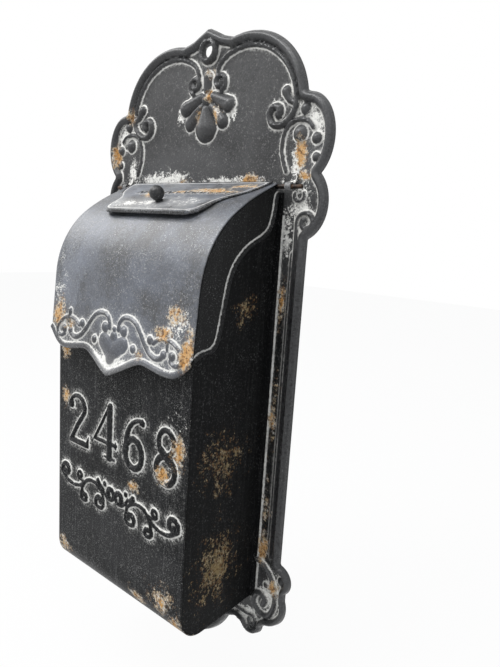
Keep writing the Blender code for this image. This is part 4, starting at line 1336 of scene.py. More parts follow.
    def build(self) -> None:
        """Press the plate and hide the solid that it stands for."""
        hole = arc((0, HOLE_Z), self.hole_radius, 0, 360, step=1.0)[:-1]
        reach, inner = PLATE_HALF + self.ear_reach, PLATE_HALF - self.strip_width
        sheet = PressedSheet(
            self.outline(), self.relief(),
            columns=ladder((-reach, -inner, inner, reach), self.column_steps),
            rows=ladder(self.row_marks, self.row_steps), place=self.raised, holes=[hole],
            extra=self.rim, border=self.rim_foot, wash=self.washed,
        )
        sheet.build("plate_sheet", self.paint(), "box_and_plate", "back_plate", ["back_plate"])


# Letter box


@dataclass
class LetterBox:
    """The front sheet with its floor, and the two sides."""

    figure_low: float = -82.0
    figure_rise: float = 2.3
    figure_starts: tuple[float, ...] = (-67.0, -30.0, 7.0, 44.0)
    ornament_z: float = -117.0
    columns: int = 137
    band: tuple[float, float] = (80.0, 192.0)
    floor_run: float = 61.9
    row_steps: tuple[float, ...] = (5.0, 1.2, 5.0, 2.0, 7.0, 4.0)

    def fold(self) -> Fold:
        """Bend the front sheet's outer face in side view.

        Returns:
            Its path down the front, round the bend, back along the floor and up the tab.
        """
        rear = -SHEET - GAP
        centre = (-BOX_DEPTH + FLOOR_BEND, BOX_FLOOR_Z + FLOOR_BEND)
        bend = arc(centre, FLOOR_BEND, 180, 270, step=1.6)
        tab = [(rear, BOX_FLOOR_Z), (rear, BOX_FLOOR_Z + FLOOR_TAB)]
        return Fold([(-BOX_DEPTH, BOX_TOP_Z)] + bend + tab)

    def figures(self) -> list[list[tuple[list[Point], float, float]]]:
        """Draw the house number's four figures, each 47 mm high from its own foot.

        Returns:
            For each figure its lines, with their first and last half width.
        """
        two = [
            (arc((13.5, 35), (10.5, 9.5), 165, -35, 1.0) + [(14, 19), (4.5, 3.4)], 1.9, 2.5),
            ([(4.5, 3.0), (27.5, 3.0)], 2.7, 2.9),
            ([(27.5, 3.0), (29.2, 10.5)], 1.6, 1.0),
            ([(4.6, 35.5)], 3.9, 3.9),
        ]
        four = [
            ([(21.5, 1.5), (21.5, 45.5)], 3.4, 3.4),
            ([(20.0, 45.0), (1.8, 14.2)], 1.5, 1.7),
            ([(1.8, 13.8), (29.5, 13.8)], 1.9, 1.9),
            ([(15.0, 1.2), (28.0, 1.2)], 1.4, 1.4),
            ([(29.3, 11.5), (29.3, 16.5)], 1.2, 1.2),
        ]
        stem = smooth_curve([(24.5, 44.3), (14.5, 40.5), (7.8, 31.5), (5.4, 16.0)], 1.0)
        six = [
            (arc((15.2, 14.4), (9.8, 12.0), 0, 360, 1.0), 2.9, 2.9),
            (stem, 1.5, 3.4),
            ([(24.6, 42.0)], 2.9, 2.9),
        ]
        eight = [
            (arc((15.0, 12.8), (10.2, 10.8), 0, 360, 1.0), 2.8, 2.8),
            (arc((15.0, 34.6), (8.2, 9.6), 0, 360, 1.0), 2.4, 2.4),
            ([(8.6, 28.2), (21.6, 19.4)], 3.0, 3.4),
        ]
        return [two, four, six, eight]

    def number(self) -> list[Stroke]:
        """Set the figures where they stand on the front.

        Returns:
            Their flat-topped strokes.
        """
        strokes = []
        for start, figure in zip(self.figure_starts, self.figures()):
            for points, first, last in figure:
                moved = [(start + x, self.figure_low + z) for x, z in points]
                strokes.append(stroke(moved, first, self.figure_rise, last, profile=Profile.FLAT))
        return strokes

    def ornament(self) -> list[Stroke]:
        """Draw the scrollwork below the number.

        Returns:
            The strokes of its right half.
        """
        mid = self.ornament_z
        arch = smooth_curve([
            (14.5, mid - 5), (16.5, mid + 2), (23, mid + 7), (31, mid + 8.5),
            (39, mid + 6), (44, mid), (46.3, mid - 7),
        ])
        branch = smooth_curve([
            (42, mid + 3), (49, mid - 1.5), (57, mid - 3.5), (66, mid - 2.5), (72, mid + 1.5),
        ])
        crook = smooth_curve([(17, mid + 8.5), (14, mid + 4)])
        tendril = [(43, mid + 3.8), (48, mid + 4)]
        arch_end = spiral((41.8, mid - 9.5), 4.6, 1.8, 0, -300)
        branch_end = spiral((69.6, mid + 7), 6.4, 2.4, -35, 360)
        tendril_end = spiral((48.4, mid + 8.4), 4.2, 1.6, -75, 330)
        crook_end = spiral((6, mid + 5.8), 6.4, 2.4, -35, -360)
        return [
            stroke(arch + arch_end, 1.6, 2.0, 2.3, 2.4),
            stroke(spiral((20.8, mid - 6.8), 6.6, 2.6, 170, 360), 1.6, 2.0, 3.0, 2.6),
            stroke(branch + branch_end, 1.6, 1.9, 2.9, 2.6),
            stroke(tendril + tendril_end, 1.3, 1.7, 1.9, 2.0),
            stroke(crook + crook_end, 1.6, 1.9, 2.9, 2.6),
            stroke([(23, mid + 11.4), (18.5, mid + 8)], 2.8, 2.0, 1.5, 1.6),
            boss((13.8, mid + 11.8), 2.6, 1.9),
        ]

    def front_paint(self) -> bpy.types.Material:
        """Mix the front's finish.

        Returns:
            Black paint full of grey specks, with a wide glow of lime and rust at its edges, painted
            shade at the top under the hood and a painted sheen low down.
        """
        return OldPaint(
            "front_paint", Rgb.SOOT, Rgb.BLACK, Rgb.CHARCOAL, rubbed_share=0.3, specks=0.62,
            speck_scale=1000.0, streaks=0.12, glow=8.5, roughness=0.38, sheen=0.09, crests=0.7,
            lime=(Patch((70, -88, -44), (14, 30, 34), 0.4),),
            tints=(
                # Painted shade at the top under the hood, and a painted sheen on the lower front
                Tint(Patch((0, -88, 6), (100, 40, 30), 1.2), Rgb.SOOT, 0.75),
                Tint(Patch((20, -88, -150), (70, 40, 30), 1.0), Rgb.CHARCOAL, 0.5),
            ),
            rust=(
                Patch((-72, -88, 2), (10, 20, 10), 1.0), Patch((-72, -88, -42), (7, 20, 12), 0.9),
                Patch((72, -88, -52), (8, 20, 18), 1.1), Patch((56, -88, -74), (10, 20, 10), 0.9),
                Patch((22, -88, -96), (10, 20, 6), 0.9),
                Patch((-76, -84, -188), (14, 20, 14), 0.8),
                Patch((60, -86, -178), (18, 20, 14), 0.6),
                Patch((74, -84, -194), (12, 20, 14), 0.7),
                Patch((30, -86, -190), (14, 20, 8), 0.5),
            ),
        ).make()

    def build_front(self) -> None:
        """Press and fold the front sheet."""
        fold = self.fold()
        tab, end = fold.marks[-2], fold.marks[-1]
        straight = BOX_TOP_Z - BOX_FLOOR_Z - FLOOR_BEND
        marks = (0, *self.band, straight, tab - self.floor_run, tab, end)
        tab_half = BOX_HALF - FLOOR_TAB_SETBACK
        right = [(BOX_HALF, 0), (BOX_HALF, tab), (tab_half, tab), (tab_half, end)]
        pressed = both_sides(self.ornament()) + self.number()
        sheet = PressedSheet(
            closed_outline(right), Relief([one.moved(fold.down) for one in pressed]),
            columns=np.linspace(-BOX_HALF, BOX_HALF, self.columns),
            rows=ladder(marks, self.row_steps), place=fold.lay, flip=True,
        )
        sheet.build("front_sheet", self.front_paint(), "box_and_plate", "box", ["front_panel"])

    def dress_sides(self) -> None:
        """Give the two side panels their streaked black paint."""
        paint = OldPaint(
            "side_paint", Rgb.SOOT, Rgb.SOOT, Rgb.BLACK, rubbed_share=0.35, specks=0.16,
            streaks=0.04, roughness=0.6, sheen=0.08, wash=0.0,
            rust_tones=(Rgb.TAN, Rgb.OLIVE, Rgb.CREAM), scatter=2.6,
            rust=(
                Patch((82, -48, -66), (10, 22, 24), 0.55),
                Patch((82, -50, -158), (10, 26, 30), 0.75),
                Patch((82, -34, 52), (10, 9, 11), 0.45),
                Patch((-82, -40, -100), (10, 18, 24), 0.7),
            ),
        ).make()
        for name in ("left_side_panel", "right_side_panel"):
            dress_node(name, paint)

    def build(self) -> None:
        """Make the box's visible pieces."""
        self.build_front()
        self.dress_sides()


# Hood


@dataclass
class Hood:
    """The curved cover with its stamped band, its two cheeks and the eyes round the rod."""

    corner_z: float = 17.0
    tip_drop: float = 23.5
    tip_flare: float = 5.0
    flare_above: float = 8.0
    proud: float = 1.6
    shoulder_radius: float = 170.0
    shoulder_angle: float = 37.0
    brow_radius: float = 77.0
    fall_angle: float = 85.5
    bead: float = 2.4
    bead_height: float = 1.6
    cheek_bead: float = 2.2
    cheek_bead_height: float = 2.0
    cheek_wash: float = 0.75
    cheek_y: tuple[float, float] = (-93.0, -4.0)
    cheek_z: tuple[float, float] = (14.0, 149.0)
    cheek_step: float = 1.3
    corner_rise: float = 0.5
    flange: float = 5.0
    eye_tail: float = 5.0
    eye_notch: float = 3.2
    slot: tuple[Point, ...] = ((58, 20), (58, 30), (42, 57))
    columns: int = 145
    band: float = 30.0
    row_steps: tuple[float, ...] = (3.0, 4.0, 3.1, 3.0, 1.2)

    def fold(self, finer: int = 4) -> Fold:
        """Bend the cover's outer face in side view.

        Args:
            finer: how many times finer its curves are than the solid's.

        Returns:
            Its path from over the rod, round shoulder and brow, down to the tip of its edge.
        """
        turn = math.radians(SLOPE)
        a, b, c = (math.radians(angle) for angle in (SLOPE, self.shoulder_angle, self.fall_angle))
        curved = self.shoulder_radius * (math.sin(b) - math.sin(a))
        curved += self.brow_radius * (math.sin(c) - math.sin(b))
        start = (HINGE[0] - HOOD_LIFT * math.sin(turn), HINGE[1] + HOOD_LIFT * math.cos(turn))
        straight = (BOX_DEPTH + self.proud + start[0] - curved) / math.cos(turn)
        shoulder = (start[0] - straight * math.cos(turn), start[1] - straight * math.sin(turn))
        points = [start, shoulder]
        bends = ((self.shoulder_radius, SLOPE, self.shoulder_angle, 3),
                 (self.brow_radius, self.shoulder_angle, self.fall_angle, 11))
        for radius, first, last, count in bends:
            y, z = points[-1]
            y0 = y + radius * math.sin(math.radians(first))
            z0 = z - radius * math.cos(math.radians(first))
            for angle in np.radians(np.linspace(first, last, count * finer + 1))[1:]:
                points.append((y0 - radius * math.sin(angle), z0 + radius * math.cos(angle)))
        y, z = points[-1]
        drop = z - (self.corner_z - self.tip_drop)
        points.append((y - drop / math.tan(c), z - drop))
        return Fold(points)

    def edge(self) -> list[Point]:
        """Draw the cover's lower edge.

        Returns:
            Its (x, z) points from the tip in the middle to the right corner.
        """
        half, corner = HOOD_HALF, self.corner_z
        tip = corner - self.tip_drop
        return smooth_curve([
            (0, tip), (9, tip + 3.4), (20, tip + 9), (29, tip + 13.3), (36, tip + 14.8),
            (45, tip + 13.6), (half - 28, tip + 11.5), (half - 18, tip + 11.4),
            (half - 10, tip + 14.5), (half - 4, tip + 19.5), (half, corner),
        ])

    def ornament(self) -> list[Stroke]:
        """Draw the scroll band over the cover's edge.

        Returns:
            Its strokes in (x, z), with a heart in the middle.
        """
        low = self.corner_z
        wave = smooth_curve([
            (5.4, low + 13), (6.4, low + 19), (10.5, low + 23), (16, low + 24),
            (21.5, low + 22.8), (26, low + 20), (31.5, low + 14), (36.5, low + 7.5),
            (43, low + 1.5), (50, low - 1), (56, low + 0.5),
        ])
        sickle = smooth_curve([
            (46, low + 9.5), (50, low + 12.5), (57, low + 14.5), (65, low + 13.5),
            (72, low + 9.5), (76, low + 4), (75, low - 1), (70, low - 2.7), (65, low - 0.5),
        ])
        leaf = [(59.5, low + 20), (60.2, low + 13), (61, low + 7)]
        heart = [(2.5, low - 3), (11.5, low + 2.2)]
        right = [
            stroke(wave, 1.9, 2.2, 2.3, 2.2),
            stroke(sickle, 1.7, 2.0, 1.7, 2.0),
            stroke(leaf, 2.3, 2.0, 1.5, 1.7),
            stroke(heart, 8.0, 2.6, 6.6, 2.4),
            boss((11.5, low + 12.8), 4.4, 2.8),
            boss((66.5, low + 3.5), 3.7, 2.6),
            boss((57.6, low + 3.2), 3.3, 2.2),
            boss((42, low + 11.3), 3.5, 2.2),
            boss((24, low + 1.3), 3.4, 2.2),
        ]
        middle = [
            boss((0, low + 13), 2.4, 1.8),
            boss((0, low + 7), 4.5, 2.2),
            boss((0, low - 9), 6.2, 2.6),
        ]
        return both_sides(right) + middle

    def cover_paint(self) -> bpy.types.Material:
        """Mix the cover's finish.

        Returns:
            Blue-black paint with painted highlights on the brow, on the left side and on the lip,
            where it is partly a silver wash, and lime and rust along its edge.
        """
        return OldPaint(
            "hood_paint", Rgb.GRAPHITE, Rgb.BLUE_GREY, Rgb.PEWTER, rubbed_share=0.45, specks=0.85,
            glow=6.5, roughness=0.34, sheen=0.5, crests=0.6, crest_tone=Rgb.CHARCOAL,
            lime=(
                Patch((0, -93, 4), (40, 30, 12), 1.3),
                *Patch((54, -89, 6), (42, 30, 9), 1.0).pair(),
                Patch((-78, -80, 60), (12, 40, 44), 0.45),
                Patch((70, -88, 42), (16, 40, 20), 0.45),
            ),
            tints=(
                # Painted highlights: on the lip, partly a silver wash; on the brow; on the lit left
                # side
                Tint(Patch((0, -92, -2), (110, 40, 14), 1.2), Rgb.ASH, 0.75),
                Tint(Patch((0, -50, 104), (90, 30, 22), 1.2), Rgb.PEWTER, 0.6),
                Tint(Patch((-64, -80, 70), (24, 40, 40), 0.8), Rgb.PEWTER, 0.6),
            ),
            rust=(
                Patch((80, -88, 24), (9, 30, 20), 1.4), Patch((66, -88, 50), (11, 30, 12), 1.1),
                Patch((-78, -88, 34), (12, 30, 16), 1.2), Patch((33, -88, 16), (7, 30, 6), 1.0),
                Patch((56, -88, 34), (11, 30, 8), 1.1), Patch((-60, -88, 26), (8, 30, 8), 0.8),
            ),
        ).make()

    def build_cover(self, paint: bpy.types.Material) -> None:
        """Press and bend the cover, and roll its two eyes.

        Args:
            paint: its finish.
        """
        fold, half, low = self.fold(), HOOD_HALF, self.corner_z
        notch = half - EYE_INSET - KNUCKLE - 1
        edge = [fold.down(point) for point in self.edge()]
        right = [(notch, REAR_CUT), (notch, 0), (half, 0)] + edge[::-1]
        lower = [(-x, mark) for x, mark in reversed(edge)] + edge[1:]
        marks = (0, REAR_CUT, self.slot[0][1], self.slot[-1][1],
                 fold.mark_at_z(low + self.band), fold.marks[-1])

        def lip(sites: np.ndarray) -> np.ndarray:
            """The bead along the lower edge."""
            return rolled_edge(nearest(sites, lower)[0], self.bead, self.bead_height)

        def lip_foot(sites: np.ndarray) -> np.ndarray:
            """How far inside the bead's foot each site lies."""
            return nearest(sites, lower)[0] - 2 * self.bead

        def place(x: np.ndarray, mark: np.ndarray, height: np.ndarray) -> np.ndarray:
            """Bend the sheet and flare the middle of its lower edge.

            Args:
                x: the sites' X.
                mark: how far down the sheet they lie.
                height: how far they are raised.

            Returns:
                Their places in space.
            """
            y, z = fold.at(mark, height)
            share = np.clip((low + self.flare_above - z) / (self.tip_drop + self.flare_above), 0, 1)
            flare = self.tip_flare * share ** 2 * (1 - (x / half) ** 2)
            return np.stack([x, y - flare, z], axis=1)

        PressedSheet(
            closed_outline(right), Relief([one.moved(fold.down) for one in self.ornament()]),
            columns=np.linspace(-half, half, self.columns), rows=ladder(marks, self.row_steps),
            place=place, holes=[closed_outline(self.slot)], flip=True, extra=lip, border=lip_foot,
        ).build("hood_sheet", paint, "hood", "hood", ["hood_cover"])
        for name, sign in (("left", -1), ("right", 1)):
            ends = sorted((sign * (half - EYE_INSET), sign * (half - EYE_INSET - KNUCKLE)))
            strip = rolled_strip(eye_path(0.0, self.eye_tail), *ends)
            finish_strip(f"hood_eye_{name}", strip, paint, "hood")

    def cheek_rim(self) -> list[Point]:
        """Draw the cheek's free edge.

        Returns:
            Its (y, z) points from the cover's corner back to the rod.
        """
        y0, z0 = HINGE
        fold = self.fold(1)
        start = fold.at(fold.mark_at_z(self.corner_z + self.corner_rise), -SHEET - GAP)
        return smooth_curve([
            tuple(map(float, start)), (y0 - 76.5, z0 - 125.2), (y0 - 66, z0 - 123.5),
            (y0 - 58.5, z0 - 116), (y0 - 53.7, z0 - 95.2), (y0 - 47, z0 - 67.5),
            (y0 - 33, z0 - 51.2), (y0 - 10, z0 - 38.5), (y0 - 2.0, z0 - 25.5),
            (y0 + 1.3, z0 - 5.5),
        ])

    def build_cheek(self, name: str, sign: int, paint: bpy.types.Material) -> None:
        """Press a cheek with its beaded rim, and bend the flange under the cover.

        Args:
            name: left or right.
            sign: -1 for the left, 1 for the right.
            paint: its finish.
        """
        fold = self.fold()
        y0, z0 = HINGE
        marks = np.linspace(self.flange, fold.mark_at_z(self.corner_z + self.corner_rise), 60)
        top = [tuple(map(float, fold.at(mark, -SHEET - GAP))) for mark in marks]
        rim = self.cheek_rim()
        notch = [(y0 + self.eye_notch * math.cos(a), z0 + self.eye_notch * math.sin(a))
                 for a in np.radians((-62, -100, -140))]
        free = rim[2:-2]

        def bead(sites: np.ndarray) -> np.ndarray:
            """The bead along the free edge."""
            return rolled_edge(nearest(sites, free)[0], self.cheek_bead, self.cheek_bead_height)

        def bead_foot(sites: np.ndarray) -> np.ndarray:
            """How far inside the bead's foot each site lies."""
            return nearest(sites, free)[0] - 2 * self.cheek_bead

        PressedSheet(
            top + rim[1:] + notch, Relief([]),
            columns=ladder(self.cheek_y, [self.cheek_step]),
            rows=ladder(self.cheek_z, [self.cheek_step]),
            place=lambda y, z, height: np.stack([sign * (HOOD_HALF + height), y, z], axis=1),
            flip=sign < 0, extra=bead, border=bead_foot,
            wash=lambda sites: np.full(len(sites), self.cheek_wash),
        ).build(f"cheek_{name}", paint, "hood", "hood", [f"{name}_hood_cheek"])
        strip = rolled_strip(top, HOOD_HALF - self.flange, HOOD_HALF)
        if sign < 0:
            bmesh.ops.scale(strip, vec=(-1, 1, 1), verts=strip.verts)
            bmesh.ops.reverse_faces(strip, faces=strip.faces)
        finish_strip(f"cheek_flange_{name}", strip, paint, "hood")

    def build(self) -> None:
        """Make the hood's pieces."""
        self.build_cover(self.cover_paint())
        dark = OldPaint(
            "cheek_paint", Rgb.SOOT, Rgb.SOOT, Rgb.BLACK, rubbed_share=0.6, specks=0.3,
            streaks=0.04, glow=1.6, roughness=0.5, sheen=0.14,
        ).make()
        self.build_cheek("left", -1, dark)
        self.build_cheek("right", 1, dark)


def eye_path(rise: float, tail: float) -> list[Point]:
    """Draw the middle line of an eye that is rolled round the rod, in side view.

    Args:
        rise: how far the leaf behind the eye lies over the hood's own.
        tail: how far down the slope the strip goes on.

    Returns:
        Its (y, z) points.
    """
    radius = HOOD_LIFT - SHEET / 2
    angles = np.radians(np.linspace(-30, -270, 33))
    points = [on_slope(radius * math.cos(a), radius * math.sin(a)) for a in angles]
    return points + [on_slope(reach, radius + rise) for reach in (tail * 0.6, tail)]


# Letter flap


@dataclass
class LetterFlap:
    """The shallow pan over the letter slot, with its ball knob, washer and screw."""

    side_inset: float = 4.5
    front_half: float = 50.0
    reach: float = 65.0
    lip: float = 3.0
    lip_width: float = 2.4
    lip_start: float = 6.0
    lip_clearance: float = 0.5
    lip_power: float = 1.5
    lime_inset: float = 0.2
    wash_width: float = 6.0
    wash_shares: tuple[float, float] = (0.7, 0.3)
    columns: int = 141
    row_marks: tuple[float, float] = (-1.0, 15.0)
    row_steps: tuple[float, float] = (2.5, 1.2)
    knob_reach: float = 46.0
    knob_radius: float = 6.1
    neck_radius: float = 2.6
    bore: float = 1.5
    bore_depth: float = 5.6

    def outline(self) -> list[Point]:
        """Draw the flap's edge: a straight front, and S-shaped sides.

        Returns:
            The loop as (x, reach) points.
        """
        rear, front, reach = HOOD_HALF - self.side_inset, self.front_half, self.reach
        return closed_outline(smooth_curve([
            (front - 4, reach), (front + 2.5, reach - 4), (front + 6.5, reach - 12),
            (front + 8.5, reach - 21), (front + 12, reach - 28.5), (front + 19, reach - 35.5),
            (rear - 6.5, reach - 43), (rear - 2, reach - 53), (rear, 4), (rear, -1),
        ]))

    def ornament(self) -> list[Stroke]:
        """Draw a worn row of shallow scrolls across the flap.

        Returns:
            The strokes in (x, reach).
        """
        waves = [[(x - 4.5, 27), (x - 1.5, 22.5), (x + 1.5, 27.5), (x + 4.5, 23)]
                 for x in range(-44, 58, 9)]
        return [stroke(smooth_curve(wave), 1.2, 0.5) for wave in waves]

    def room(self) -> tuple[np.ndarray, np.ndarray]:
        """Work out how deep the lip may turn down, clear of the hood.

        Returns:
            Some places down the slope, and the lip's depth at each.
        """
        marks = np.linspace(0, 70, 71)
        turn = math.radians(SLOPE)
        y, z = Hood().fold().at(marks, np.zeros(len(marks)))
        level = (y - HINGE[0]) * -math.sin(turn) + (z - HINGE[1]) * math.cos(turn)
        return marks, np.clip(FLAP_LIFT - SHEET - level - self.lip_clearance, 0, self.lip)

    def paint(self) -> bpy.types.Material:
        """Mix the flap's finish.

        Returns:
            Pale worn paint with streaks across it, lime in front and rust at the rear.
        """
        return OldPaint(
            "flap_paint", Rgb.CHARCOAL, Rgb.PEWTER, Rgb.ASH, rubbed_share=0.5, specks=0.6,
            glow=2.2, streaks=1.0, brush=(0.05, 1.0, 1.0), roughness=0.3, sheen=0.55,
            crests=1.0, crest_tone=Rgb.SOOT,
            tints=(Tint(Patch((-16, -58, 129), (90, 24, 12), 1.0), Rgb.ASH, 0.7),),
            lime=(
                Patch((-30, -56, 130), (60, 20, 10), 0.65),
                Patch((30, -50, 131), (46, 20, 10), 0.5),
            ),
            rust=(
                Patch((-24, -36, 138), (18, 9, 7), 1.25), Patch((36, -28, 141), (34, 8, 7), 1.25),
                Patch((6, -30, 140), (12, 6, 6), 1.0), Patch((62, -20, 145), (18, 7, 6), 1.0),
            ),
        ).make()

    def build_pan(self, paint: bpy.types.Material) -> None:
        """Press the pan with its turned-down lip.

        Args:
            paint: its finish.
        """
        outline = self.outline()
        marks, room = self.room()

        def from_edge(sites: np.ndarray) -> np.ndarray:
            """The distance from each site to the flap's edge."""
            return nearest(sites, outline, closed=True)[0]

        def turned_down(sites: np.ndarray) -> np.ndarray:
            """Turn the edge down.

            Args:
                sites: flat coordinates in millimetres, one row a site.

            Returns:
                The height that is added at each site, 0 or less.
            """
            reach = sites[:, 1]
            depth = np.where(reach < self.lip_start, 0, np.interp(reach, marks, room))
            inwards = np.clip(from_edge(sites) / self.lip_width, 0, 1)
            return -depth * (1 - inwards) ** self.lip_power

        def place(x: np.ndarray, reach: np.ndarray, height: np.ndarray) -> np.ndarray:
            """Lay the sheet over the hood's slope."""
            return np.stack([x, *on_slope(reach, FLAP_LIFT + height)], axis=1)

        side = HOOD_HALF - self.side_inset
        hole = arc((0, self.knob_reach), self.bore, 0, 360, step=0.8)[:-1]
        PressedSheet(
            outline, Relief(self.ornament()), columns=np.linspace(-side, side, self.columns),
            rows=ladder((*self.row_marks, self.reach), self.row_steps), place=place,
            holes=[hole], flip=True, extra=turned_down,
            border=lambda sites: from_edge(sites) - self.lip_width - self.lime_inset,
            wash=lambda sites: np.where(from_edge(sites) < self.wash_width, *self.wash_shares),
        ).build("flap_sheet", paint, "flap", "flap", ["slot_flap"])

    def build(self) -> None:
        """Press the flap, roll its eye and turn its knob."""
        paint = self.paint()
        self.build_pan(paint)
        half = HOOD_HALF - EYE_INSET - KNUCKLE - 2
        strip = rolled_strip(eye_path(FLAP_LIFT - HOOD_LIFT, REAR_CUT - 2), -half, half)
        finish_strip("flap_eye", strip, paint, "flap")
        self.build_knob()

    def stand(self, bm: bmesh.types.BMesh, lift: float) -> None:
        """Stand a turned piece on the flap's slope at the knob's place.

        Args:
            bm: the piece, turned about Z.
            lift: how far off the rod's axis its foot stands.
        """
        y, z = on_slope(self.knob_reach, lift)
        tilt = Matrix.Rotation(math.radians(SLOPE), 4, "X")
        bmesh.ops.transform(bm, matrix=Matrix.Translation((0, y, z)) @ tilt, verts=bm.verts)

    def build_knob(self) -> None:
        """Turn the knob, finer than its solid, and dress the washer and the screw."""
        radius, rise = self.knob_radius, 1.0
        centre = rise + math.sqrt(radius ** 2 - self.neck_radius ** 2)
        first = math.degrees(math.asin((rise - centre) / radius))
        bore = [(0, self.bore_depth), (self.bore, self.bore_depth), (self.bore, 0)]
        collar = [(3.2, 0), (3.4, 0.2), (3.4, 0.45), (3.2, 0.6), (2.7, 0.75)]
        ball = arc((0, centre), radius, first, 90, step=0.5)[:-1]
        knob = turned(bore + collar + ball + [(0, centre + radius)])
        self.stand(knob, FLAP_LIFT + GAP)
        paint = OldPaint(
            "knob_paint", Rgb.BLACK, Rgb.CHARCOAL, Rgb.CHARCOAL, rubbed_share=0.4, specks=0.25,
            roughness=0.36, sheen=0.35,
        ).make()
        finish_piece("knob_ball", knob, paint, "flap", ["flap_knob"])
        steel = BareMetal("fastener_steel", rusted=0.35).make()
        for name in ("knob_washer", "knob_screw"):
            dress_node(name, steel)


# Hinge


@dataclass
class Hinge:
    """The rod that both lids turn on, and its two straps."""

    overhang: float = 26.0
    chamfer: float = 0.4
    strap_offset: float = 14.2
    strap_width: float = 5.3
    strap_thickness: float = 1.2
    strap_leaf: float = 10.5
    leaf_foot: float = 5.5
    soft_edge: float = 0.2

    def build_rod(self) -> None:
        """Turn the rod and lay it on the hinge's axis."""
        length = BOX_HALF + self.overhang
        radius, end = ROD_RADIUS, ROD_RADIUS - self.chamfer
        run = [(radius, z) for z in np.linspace(-length + 0.5, length - 0.5, 25)]
        rod = turned([(0, -length), (end, -length), *run, (end, length), (0, length)], 24)
        lay = Matrix.Translation((0, *HINGE)) @ Matrix.Rotation(math.radians(90), 4, "Y")
        bmesh.ops.transform(rod, matrix=lay, verts=rod.verts)
        steel = BareMetal("rod_steel", Rgb.BLACK, rusted=0.5).make()
        finish_piece("rod_wire", rod, steel, "box_and_plate", ["hinge_rod"])

    def strap_path(self) -> list[Point]:
        """Draw the strap's middle line in side view.

        Returns:
            Its (y, z) points, down the plate and round the rod.
        """
        y0, z0 = HINGE
        radius = EYE_INNER + self.strap_thickness / 2
        leaf = -SHEET - GAP - self.strap_thickness / 2
        angles = np.radians(np.linspace(35, 320, 36))
        hook = [(y0 + radius * math.cos(a), z0 + radius * math.sin(a)) for a in angles]
        return [(leaf, z0 + self.strap_leaf), (leaf, z0 + self.leaf_foot)] + hook

    def build_straps(self) -> None:
        """Bend the two straps round the rod."""
        lime = Patch((96, -4, 152), (8, 12, 9), 0.7)
        metal = OldPaint("strap_paint", Rgb.CHARCOAL, Rgb.SLATE, Rgb.ASH, rubbed_share=0.7,
                         specks=0.6, lime=lime.pair()).make()
        for name, sign in (("left", -1), ("right", 1)):
            middle = sign * (BOX_HALF + self.strap_offset)
            ends = (middle - self.strap_width / 2, middle + self.strap_width / 2)
            strap = finish_strip(
                f"strap_{name}", rolled_strip(self.strap_path(), *ends), metal, "box_and_plate",
                self.strap_thickness, [f"{name}_hinge_strap"])
            edge = strap.modifiers.new("edge", "BEVEL")
            edge.width = self.soft_edge * MM
            edge.segments = 2
            edge.limit_method = "ANGLE"

    def build(self) -> None:
        """Make the rod and the straps."""
        self.build_rod()
        self.build_straps()


# Studio


@dataclass(frozen=True)
class Lamp:
    """A soft square lamp: its place in metres, its width and its watts."""

    name: str
    place: tuple[float, float, float]
    size: float
    power: float


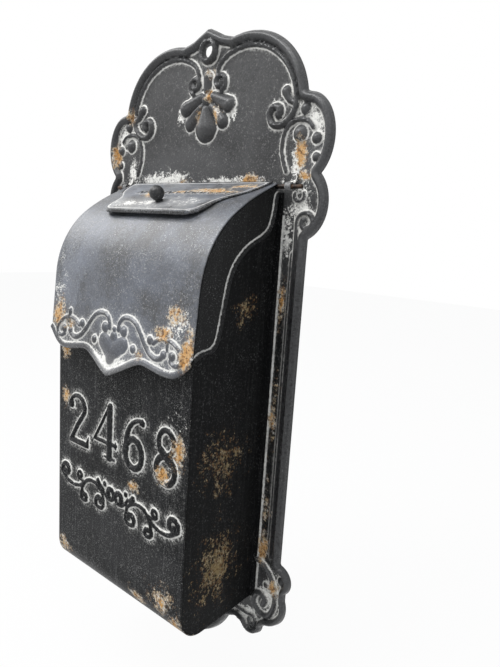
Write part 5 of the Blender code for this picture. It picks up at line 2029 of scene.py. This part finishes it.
@dataclass
class Studio:
    """The camera at the photograph's angle, the floor, the backdrop's white and the lamps.

    Angles are in degrees, and places in metres.
    """

    azimuth: float = 38.09
    elevation: float = 9.95
    roll: float = 3.829
    lens: float = 29.21
    sensor: float = 36.0
    eye: tuple[float, float, float] = (0.33924, -0.35412, 0.10654)
    aim: tuple[float, float, float] = (0.0, 0.0, 0.02)
    floor_z: float = -0.300
    floor_half: float = 4.0
    floor_tone: float = 0.72
    floor_white: float = 0.95
    sky: tuple[float, float, float, float] = (0.90, 0.94, 1.0, 1.0)
    sky_strength: float = 0.42
    lamps: tuple[Lamp, ...] = (
        Lamp("key", (-0.5, -1.1, 1.5), 0.9, 27.0),
        Lamp("fill", (1.4, -0.9, 0.6), 1.4, 4.0),
        Lamp("top", (0.3, -0.5, 1.7), 0.6, 8.0),
        Lamp("brow", (-1.0, -0.3, 0.95), 0.8, 6.5),
    )

    def build_camera(self) -> None:
        """Place the camera."""
        az, el, roll = (math.radians(a) for a in (self.azimuth, self.elevation, self.roll))
        back = Vector((math.sin(az) * math.cos(el), -math.cos(az) * math.cos(el), math.sin(el)))
        right = Vector((math.cos(az), math.sin(az), 0))
        up = back.cross(right)
        across = math.cos(roll) * right + math.sin(roll) * up
        upward = -math.sin(roll) * right + math.cos(roll) * up
        data = bpy.data.cameras.new("camera")
        data.sensor_width = self.sensor
        data.lens = self.lens
        data.clip_start = 0.01
        camera = bpy.data.objects.new("camera", data)
        matrix = Matrix((across, upward, back)).transposed().to_4x4()
        matrix.translation = Vector(self.eye)
        camera.matrix_world = matrix
        bpy.context.scene.collection.objects.link(camera)
        bpy.context.scene.camera = camera

    def build_lamp(self, lamp: Lamp) -> None:
        """Hang a lamp and aim it at the box.

        Args:
            lamp: the lamp.
        """
        data = bpy.data.lights.new(lamp.name, "AREA")
        data.size = lamp.size
        data.energy = lamp.power
        thing = bpy.data.objects.new(lamp.name, data)
        thing.location = lamp.place
        thing.rotation_mode = "QUATERNION"
        away = Vector(self.aim) - Vector(lamp.place)
        thing.rotation_quaternion = away.to_track_quat("-Z", "Y")
        bpy.context.scene.collection.objects.link(thing)

    def build_floor(self) -> None:
        """Lay a pale floor that the camera sees as white."""
        bm = bmesh.new()
        bmesh.ops.create_grid(bm, x_segments=2, y_segments=2, size=self.floor_half)
        bmesh.ops.translate(bm, vec=(0, 0, self.floor_z), verts=bm.verts)
        mesh = bpy.data.meshes.new("floor")
        bm.to_mesh(mesh)
        bm.free()
        floor = bpy.data.objects.new("floor", mesh)
        bpy.context.scene.collection.objects.link(floor)
        shop = NodeShop("floor_paper")
        shop.shader.inputs["Base Color"].default_value = (*[self.floor_tone] * 3, 1)
        shop.shader.inputs["Roughness"].default_value = 0.9
        white = {"Color": (1, 1, 1, 1), "Strength": 1.0}
        glow = shop.node("ShaderNodeEmission", None, white)
        paper = {0: shop.shown() * self.floor_white, 1: shop.shader.outputs[0], 2: glow.outputs[0]}
        blend = shop.node("ShaderNodeMixShader", None, paper)
        shop.feed(shop.tree.nodes["Material Output"].inputs["Surface"], blend.outputs[0])
        floor.data.materials.append(shop.owner)

    def build_world(self) -> None:
        """Give the camera a white surround, and the rest a soft grey light."""
        world = bpy.data.worlds.new("studio")
        bpy.context.scene.world = world
        shop = NodeShop("studio", world)
        soft, white = (
            shop.node("ShaderNodeBackground", None, {"Color": color, "Strength": strength})
            for color, strength in ((self.sky, self.sky_strength), ((1, 1, 1, 1), 1.0)))
        seen = {0: shop.shown(), 1: soft.outputs[0], 2: white.outputs[0]}
        blend = shop.node("ShaderNodeMixShader", None, seen)
        shop.feed(shop.tree.nodes["World Output"].inputs["Surface"], blend.outputs[0])

    def build(self) -> None:
        """Set up the whole studio."""
        bpy.context.scene.view_settings.view_transform = "Standard"
        self.build_camera()
        self.build_floor()
        self.build_world()
        for lamp in self.lamps:
            self.build_lamp(lamp)


def main() -> None:
    """Build every piece in order."""
    logging.basicConfig(level=logging.INFO, format="%(message)s")
    for maker in (Studio(), BackPlate(), LetterBox(), Hood(), LetterFlap(), Hinge()):
        maker.build()


if __name__ == "__main__":
    main()
